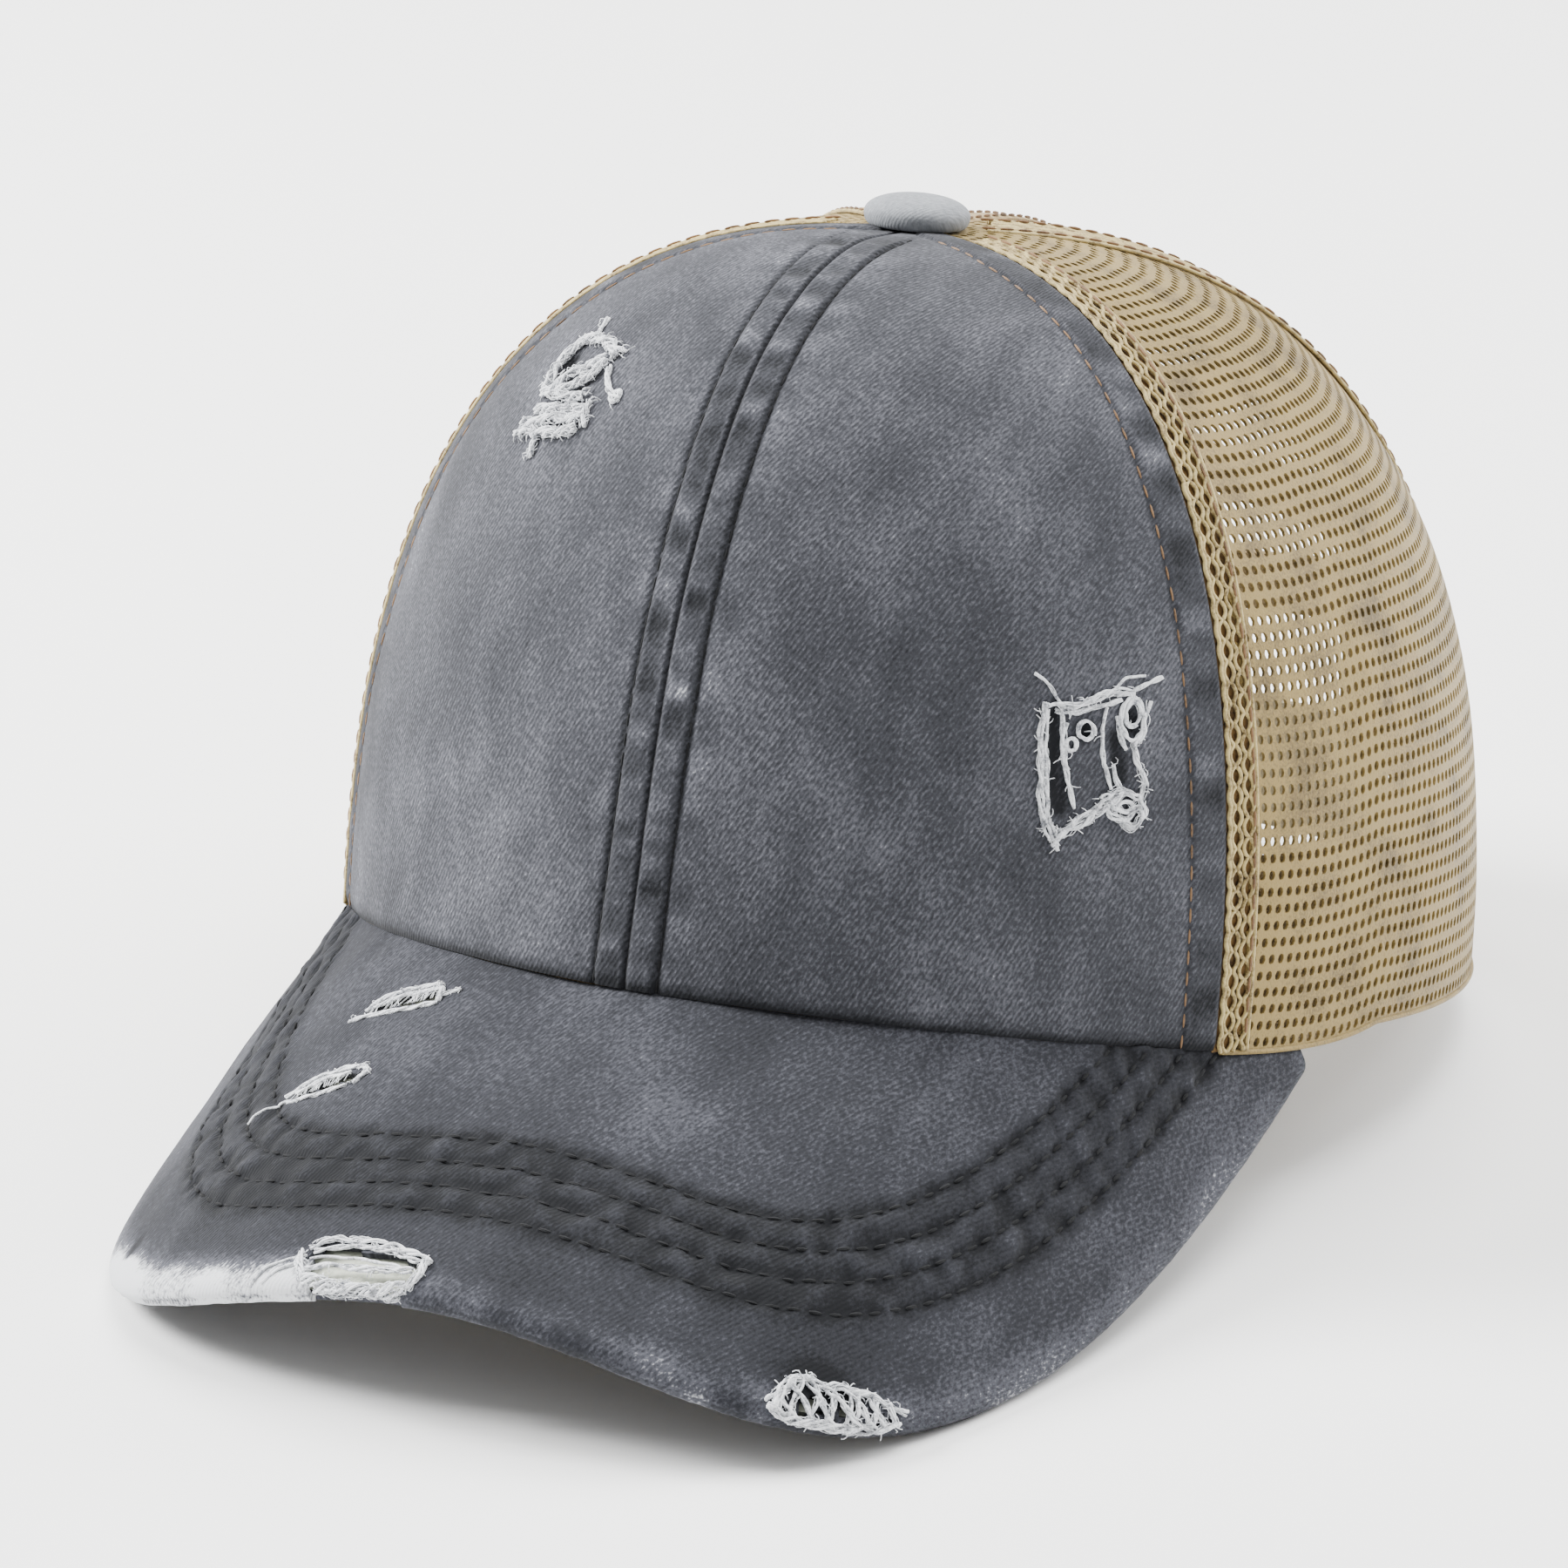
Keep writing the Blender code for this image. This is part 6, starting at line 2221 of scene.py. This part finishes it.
@dataclass
class Button:
    """The twill-covered button on top, with its rivet inside."""

    crown: CrownForm
    radius: float = 0.0080
    height: float = 0.0052
    gap: float = 0.0003
    rivet: float = 0.0030
    foot_radius: float = 0.0062
    foot_height: float = 0.0008
    wall: float = 0.0014
    sides: int = 72

    def build(self, bench: Bench) -> None:
        """Turn the profile, with the gathers of the cloth round its edge.

        Args:
            bench: the shared trees and finishes.
        """
        edge = self.gap + self.height * 0.36
        profile = []
        for k in range(15):
            turn = math.pi / 2 * k / 14
            profile.append((self.radius * math.sin(turn) ** 0.85,
                            edge + (self.height - edge) * math.cos(turn)))
        for k in range(1, 7):
            turn = math.pi / 2 * k / 6
            profile.append((self.radius * (0.86 + 0.14 * math.cos(turn)),
                            edge - (edge - self.gap) * math.sin(turn)))
        foot = -self.wall - 2 * self.gap
        profile += [(self.radius * 0.6, self.gap), (self.rivet, self.gap), (self.rivet, foot),
                    (self.foot_radius * 0.9, foot), (self.foot_radius, foot - self.foot_height / 2),
                    (self.foot_radius * 0.9, foot - self.foot_height), (0.0, foot - self.foot_height)]
        shape = bmesh.new()
        layer = shape.loops.layers.uv.new("cloth")
        rings = []
        for k, (reach, z) in enumerate(profile):
            if reach == 0.0:
                rings.append([shape.verts.new((0.0, self.crown.top_y, self.crown.height + z))])
                continue
            ring = []
            for s in range(self.sides):
                angle = 2 * math.pi * s / self.sides
                gather = 1 + 0.012 * noise.noise(Vector((math.cos(angle) * 5, math.sin(angle) * 5, 2.0))) \
                    * (1.0 if 8 < k < 21 else 0.0)
                ring.append(shape.verts.new((reach * gather * math.cos(angle),
                                             self.crown.top_y + reach * gather * math.sin(angle),
                                             self.crown.height + z)))
            rings.append(ring)
        for high, low in zip(rings, rings[1:]):
            for s in range(self.sides):
                following = (s + 1) % self.sides
                corners = [high[s % len(high)], low[s % len(low)], low[following % len(low)],
                           high[following % len(high)]]
                unique = list(dict.fromkeys(corners))
                face = shape.faces.new(unique)
                for corner in face.loops:
                    place = corner.vert.co
                    corner[layer].uv = (place.x / MM / CLOTH_UNIT, (place.y + place.z) / MM / CLOTH_UNIT)
        bmesh.ops.recalc_face_normals(shape, faces=shape.faces[:])
        data = bpy.data.meshes.new("button_cover")
        shape.to_mesh(data)
        shape.free()
        finish_piece(linked("button_cover", data), ["button"], bench.material("button"))


@dataclass
class Sweatband:
    """The tan band inside the rim, with its stitched lower edge."""

    crown: CrownForm
    opening: OpeningForm
    height: float = 0.0290
    front_drop: float = 0.0030
    wall: float = 0.0012
    outer_wall: float = 0.0014
    gap: float = 0.0003
    columns: int = 160
    rows: int = 16

    def build(self, bench: Bench) -> None:
        """Make the band and its stitches.

        Args:
            bench: the shared trees and finishes.
        """
        depth = self.outer_wall + self.gap
        edge = self.opening.half_width(self.height) + 0.008 + self.outer_wall
        end, _ = self.crown.back_place(edge, self.height)
        grid = []
        for r in range(self.rows + 1):
            row = []
            for k in range(self.columns + 1):
                phi = end * (2 * k / self.columns - 1)
                front = max(0.0, math.cos(phi)) ** 2
                base = self.crown.rim_height(phi)
                bottom = base + self.gap - (self.front_drop + self.gap) * front
                z = bottom + (base + self.height - bottom) * r / self.rows
                t = self.crown.t_at(phi, z)
                point = self.crown.point(phi, t) - depth * self.crown.normal(phi, max(t, 0.01))
                row.append((point.x, point.y, z))
            grid.append(row)
        sheet = Sheet.measured(np.array(grid))
        sheet.up = np.repeat(sheet.up.mean(axis=1)[:, None], self.columns + 1, axis=1)
        band = sheet.up
        quilt = -0.18 * line_dent(band, 3.4, 0.6) - 0.12 * line_dent(band, band.max() - 1.6, 0.6)
        sheet.raise_by(quilt + 0.10 * cloud(sheet.across, band * 0.4, 9.0, 5.5) - 0.1)
        inner = [(Vector(p.tolist()), Vector((-n).tolist())) for p, n in
                 zip(sheet.points[3] - sheet.normals()[3] * (self.wall + 0.0001), sheet.normals()[3])]
        obj = thicken(sheet.build("sweatband_cloth"), self.wall)
        finish_piece(obj, ["sweatband"], bench.material("sweatband"))
        bench.stitch("sweatband_stitches", [inner], "tan_thread", 3.2, 2.4, 0.4)


@dataclass
class BackOpening:
    """The bound ponytail opening with its crossing bands and its strap."""

    crown: CrownForm
    opening: OpeningForm
    leaf: float = 0.0080
    tape: float = 0.0008
    tape_gap: float = 0.0005
    net_wall: float = 0.0010
    elastic: float = 0.0012
    gap: float = 0.0003
    band_width: float = 0.0115
    band_tuck: float = 0.0060
    band_bow: float = 0.0040
    crossing_z: float = 0.0700
    crossing_rise: float = 0.35
    straight_z: float = 0.0420
    strap_width: float = 0.0230
    strap_low: float = -0.0020
    strap_lap: float = 0.0360
    strap_bow: float = 0.0020
    stations: int = 110

    def binding(self, bench: Bench) -> None:
        """Tape folded over the opening's edge, with a row of stitches on each face.

        Args:
            bench: the shared trees and finishes.
        """
        start = self.crown.rim_height(math.pi) + self.gap
        placed = [self.crown.back_point(x, z, 0.0)[0] for x, z in self.opening.outline(start)]
        points = evenly(placed, self.stations + 1)
        top, under, tape = self.tape_gap, -self.net_wall - self.tape_gap, self.tape
        middle_height = (top + tape + under - tape) / 2
        half = (top + tape - under + tape) / 2
        outer = [(-0.0005 - half * math.cos(a), middle_height + half * math.sin(a))
                 for a in np.linspace(math.radians(70), math.radians(-70), 9)]
        inner = [(-0.0005 - (half - tape) * math.cos(a), middle_height + (half - tape) * math.sin(a))
                 for a in np.linspace(math.radians(-60), math.radians(60), 7)]
        leaf = np.linspace(0.0012, self.leaf, 7)
        section = ([(self.leaf, top + 0.0001), (self.leaf, top + tape * 0.8)]
                   + [(d, top + tape + 0.00012 * math.cos(d * 900)) for d in leaf[::-1][1:].tolist()] + outer
                   + [(d, under - tape) for d in leaf[:-1].tolist()]
                   + [(self.leaf, under - tape * 0.8), (self.leaf, under - 0.0001)]
                   + [(d, under) for d in leaf[::-1][1::2].tolist()] + inner
                   + [(d, top) for d in leaf[:-1:2].tolist()])
        rings, sewn = [], []
        for k, here in enumerate(points.tolist()):
            point = Vector(here)
            _, normal = self.crown.back_point(point.x, point.z, 0.0)
            ahead = Vector((points[min(k + 1, self.stations)] - points[max(k - 1, 0)]).tolist())
            side = normal.cross(ahead).normalized()
            rings.append(self.crown.ring_on_back(point, side, 0.0, section))
            place = point + side * 0.0062
            sewn.append((self.crown.back_point(place.x, place.z, -top - tape)[0], normal))
        finish_piece(skin("opening_binding_tape", rings), ["opening_binding"],
                     bench.material("tape"))
        bench.stitch("binding_stitches", [sewn], "tan_thread", 3.0, 2.3, 0.42)

    def band(self, node: str, centre_z: float, rise: float, spans: Sequence[float], width: float, bow: float,
             extra: Callable[[float], float], finish: str, slot: str,
             bench: Bench) -> list[tuple[Vector, Vector]]:
        """A flat band across the opening.

        Args:
            node: the solid that it stands for.
            centre_z: its height at the middle of the cap.
            rise: its slope.
            spans: its two ends in x.
            width: its width.
            bow: how far it is drawn in at the middle.
            extra: depth that it gains where it passes inside another band.
            finish: its finish.
            slot: not used.
            bench: the shared trees and finishes.

        Returns:
            Its middle line, with normals.
        """
        stations = 60
        places = np.linspace(spans[0], spans[1], stations + 1).tolist()
        line = [self.crown.back_point(x, centre_z + rise * x, 0.0) for x in places]
        half, thick = width / 2, self.elastic
        across = np.linspace(-half + 0.0003, half - 0.0003, 9).tolist()
        section = ([(-half, -thick * 0.5)] + [(d, -thick + 0.0001) for d in across]
                   + [(half, -thick * 0.5)] + [(d, -0.0001) for d in across[::-1]])
        rings, middle = [], []
        for k, (point, normal) in enumerate(line):
            share = min(1.0, abs(places[k]) / self.opening.rim_half)
            inset = self.net_wall + 2 * self.tape_gap + self.tape + bow * (1 - share ** 2) + extra(places[k])
            ahead = line[min(k + 1, stations)][0] - line[max(k - 1, 0)][0]
            side = ahead.cross(normal).normalized()
            rings.append(self.crown.ring_on_back(point, side, inset, section))
            middle.append((point - normal * inset, normal))
        finish_piece(skin(node + "_cloth", rings), [node], bench.material(finish))
        return middle

    def spans(self, centre_z: float, rise: float) -> list[float]:
        """The two ends of a band, each tucked behind the opening's edge."""
        return [self.opening.edge_of_line(centre_z, rise, side) + side * self.band_tuck for side in (-1, 1)]

    def build(self, bench: Bench) -> None:
        """Make the binding, three elastic bands and the two halves of the strap.

        Args:
            bench: the shared trees and finishes.
        """
        self.binding(bench)
        rim_half = self.opening.rim_half
        overlap = self.band_width * math.hypot(1, self.crossing_rise) / (2 * self.crossing_rise) + self.gap
        step = self.elastic + self.gap

        def passes_inside(x: float) -> float:
            """Depth that one crossing band gains towards the middle, to pass inside the other."""
            share = max(0.0, (abs(x) - overlap) / (rim_half - overlap))
            return step * max(0.0, 1 - share)

        for node, z, rise, extra in (("band_upper_a", self.crossing_z, self.crossing_rise, lambda x: 0.0),
                                     ("band_upper_b", self.crossing_z, -self.crossing_rise, passes_inside),
                                     ("band_lower", self.straight_z, 0.0, lambda x: 0.0)):
            self.band(node, z, rise, self.spans(z, rise), self.band_width, self.band_bow, extra, "elastic",
                      "khaki_elastic", bench)
        centre_z = self.strap_low + self.strap_width / 2
        far_right, far_left = self.spans(centre_z, 0.0)
        lap = self.strap_lap / 2

        def laps_inside(x: float) -> float:
            """Depth that the right half of the strap gains where the left half laps over it."""
            return step * (1 - max(0.0, (-x - lap) / (-far_right - lap)))

        self.band("strap_left", centre_z, 0.0, (-lap, far_left), self.strap_width, self.strap_bow,
                  lambda x: 0.0, "strap", "loop_strap", bench)
        self.band("strap_right", centre_z, 0.0, (far_right, lap), self.strap_width, self.strap_bow,
                  laps_inside, "strap", "loop_strap", bench)


@dataclass
class Studio:
    """Pale floor, soft light and the camera."""

    camera_at: tuple[float, float, float] = (0.49814, -1.04100, 0.48359)
    aim: tuple[float, float, float] = (-0.01606, 0.02136, 0.04180)
    roll: float = -0.5009
    lens: float = 189.716

    def floor(self) -> None:
        """A wide pale floor of matt paint."""
        data = bpy.data.meshes.new("studio_floor")
        size = 6.0
        corners = [(-size, -size, 0), (size, -size, 0), (size, size, 0), (-size, size, 0)]
        data.from_pydata(corners, [], [(0, 1, 2, 3)])
        obj = linked("studio_floor", data)
        material = bpy.data.materials.new("matt_floor_paint")
        material.use_nodes = True
        shader = material.node_tree.nodes["Principled BSDF"]
        shader.inputs["Base Color"].default_value = linear("#f9f9f8")
        shader.inputs["Roughness"].default_value = 0.9
        data.materials.append(material)

    def lamp(self, name: str, place: tuple[float, float, float], size: float, watts: float) -> None:
        """A soft square lamp that faces the cap.

        Args:
            name: the lamp's name.
            place: where it stands.
            size: its side in metres.
            watts: its power.
        """
        data = bpy.data.lights.new(name, "AREA")
        data.size = size
        data.energy = watts
        obj = bpy.data.objects.new(name, data)
        obj.location = place
        obj.rotation_euler = (Vector((0.0, 0.0, 0.05)) - Vector(place)).to_track_quat("-Z", "Y").to_euler()
        bpy.context.scene.collection.objects.link(obj)

    def build(self) -> None:
        """Set up floor, lamps, world and camera."""
        self.floor()
        self.lamp("key_lamp", (-1.25, -0.30, 0.95), 0.6, 74.0)
        self.lamp("top_lamp", (0.1, 0.5, 1.9), 1.6, 80.0)
        self.lamp("back_lamp", (1.0, 1.0, 0.8), 0.9, 24.0)
        world = bpy.data.worlds.new("studio_world")
        world.use_nodes = True
        back = world.node_tree.nodes["Background"]
        back.inputs["Color"].default_value = (1.0, 1.0, 1.0, 1.0)
        back.inputs["Strength"].default_value = 0.68
        bpy.context.scene.world = world
        data = bpy.data.cameras.new("studio_camera")
        data.lens = self.lens
        data.sensor_width = 36.0
        data.clip_end = 30.0
        camera = bpy.data.objects.new("studio_camera", data)
        bpy.context.scene.collection.objects.link(camera)
        facing = (Vector(self.aim) - Vector(self.camera_at)).to_track_quat("-Z", "Y").to_matrix().to_4x4()
        camera.matrix_world = (Matrix.Translation(self.camera_at) @ facing
                               @ Matrix.Rotation(math.radians(self.roll), 4, "Z"))
        bpy.context.scene.camera = camera


def main() -> None:
    """Build every sub-assembly in order."""
    logging.basicConfig(level=logging.INFO, format="%(message)s")
    crown = CrownForm()
    form, opening = VisorForm(crown), OpeningForm(crown)
    bench = Bench()
    panels = FrontPanels(crown).build(bench)
    NetPanels(crown, opening).build(bench)
    visor = Visor(form).build(bench)
    WornPatches(crown, form).build(panels, visor, bench)
    Button(crown).build(bench)
    Sweatband(crown, opening).build(bench)
    BackOpening(crown, opening).build(bench)
    Studio().build()


if __name__ == "__main__":
    main()
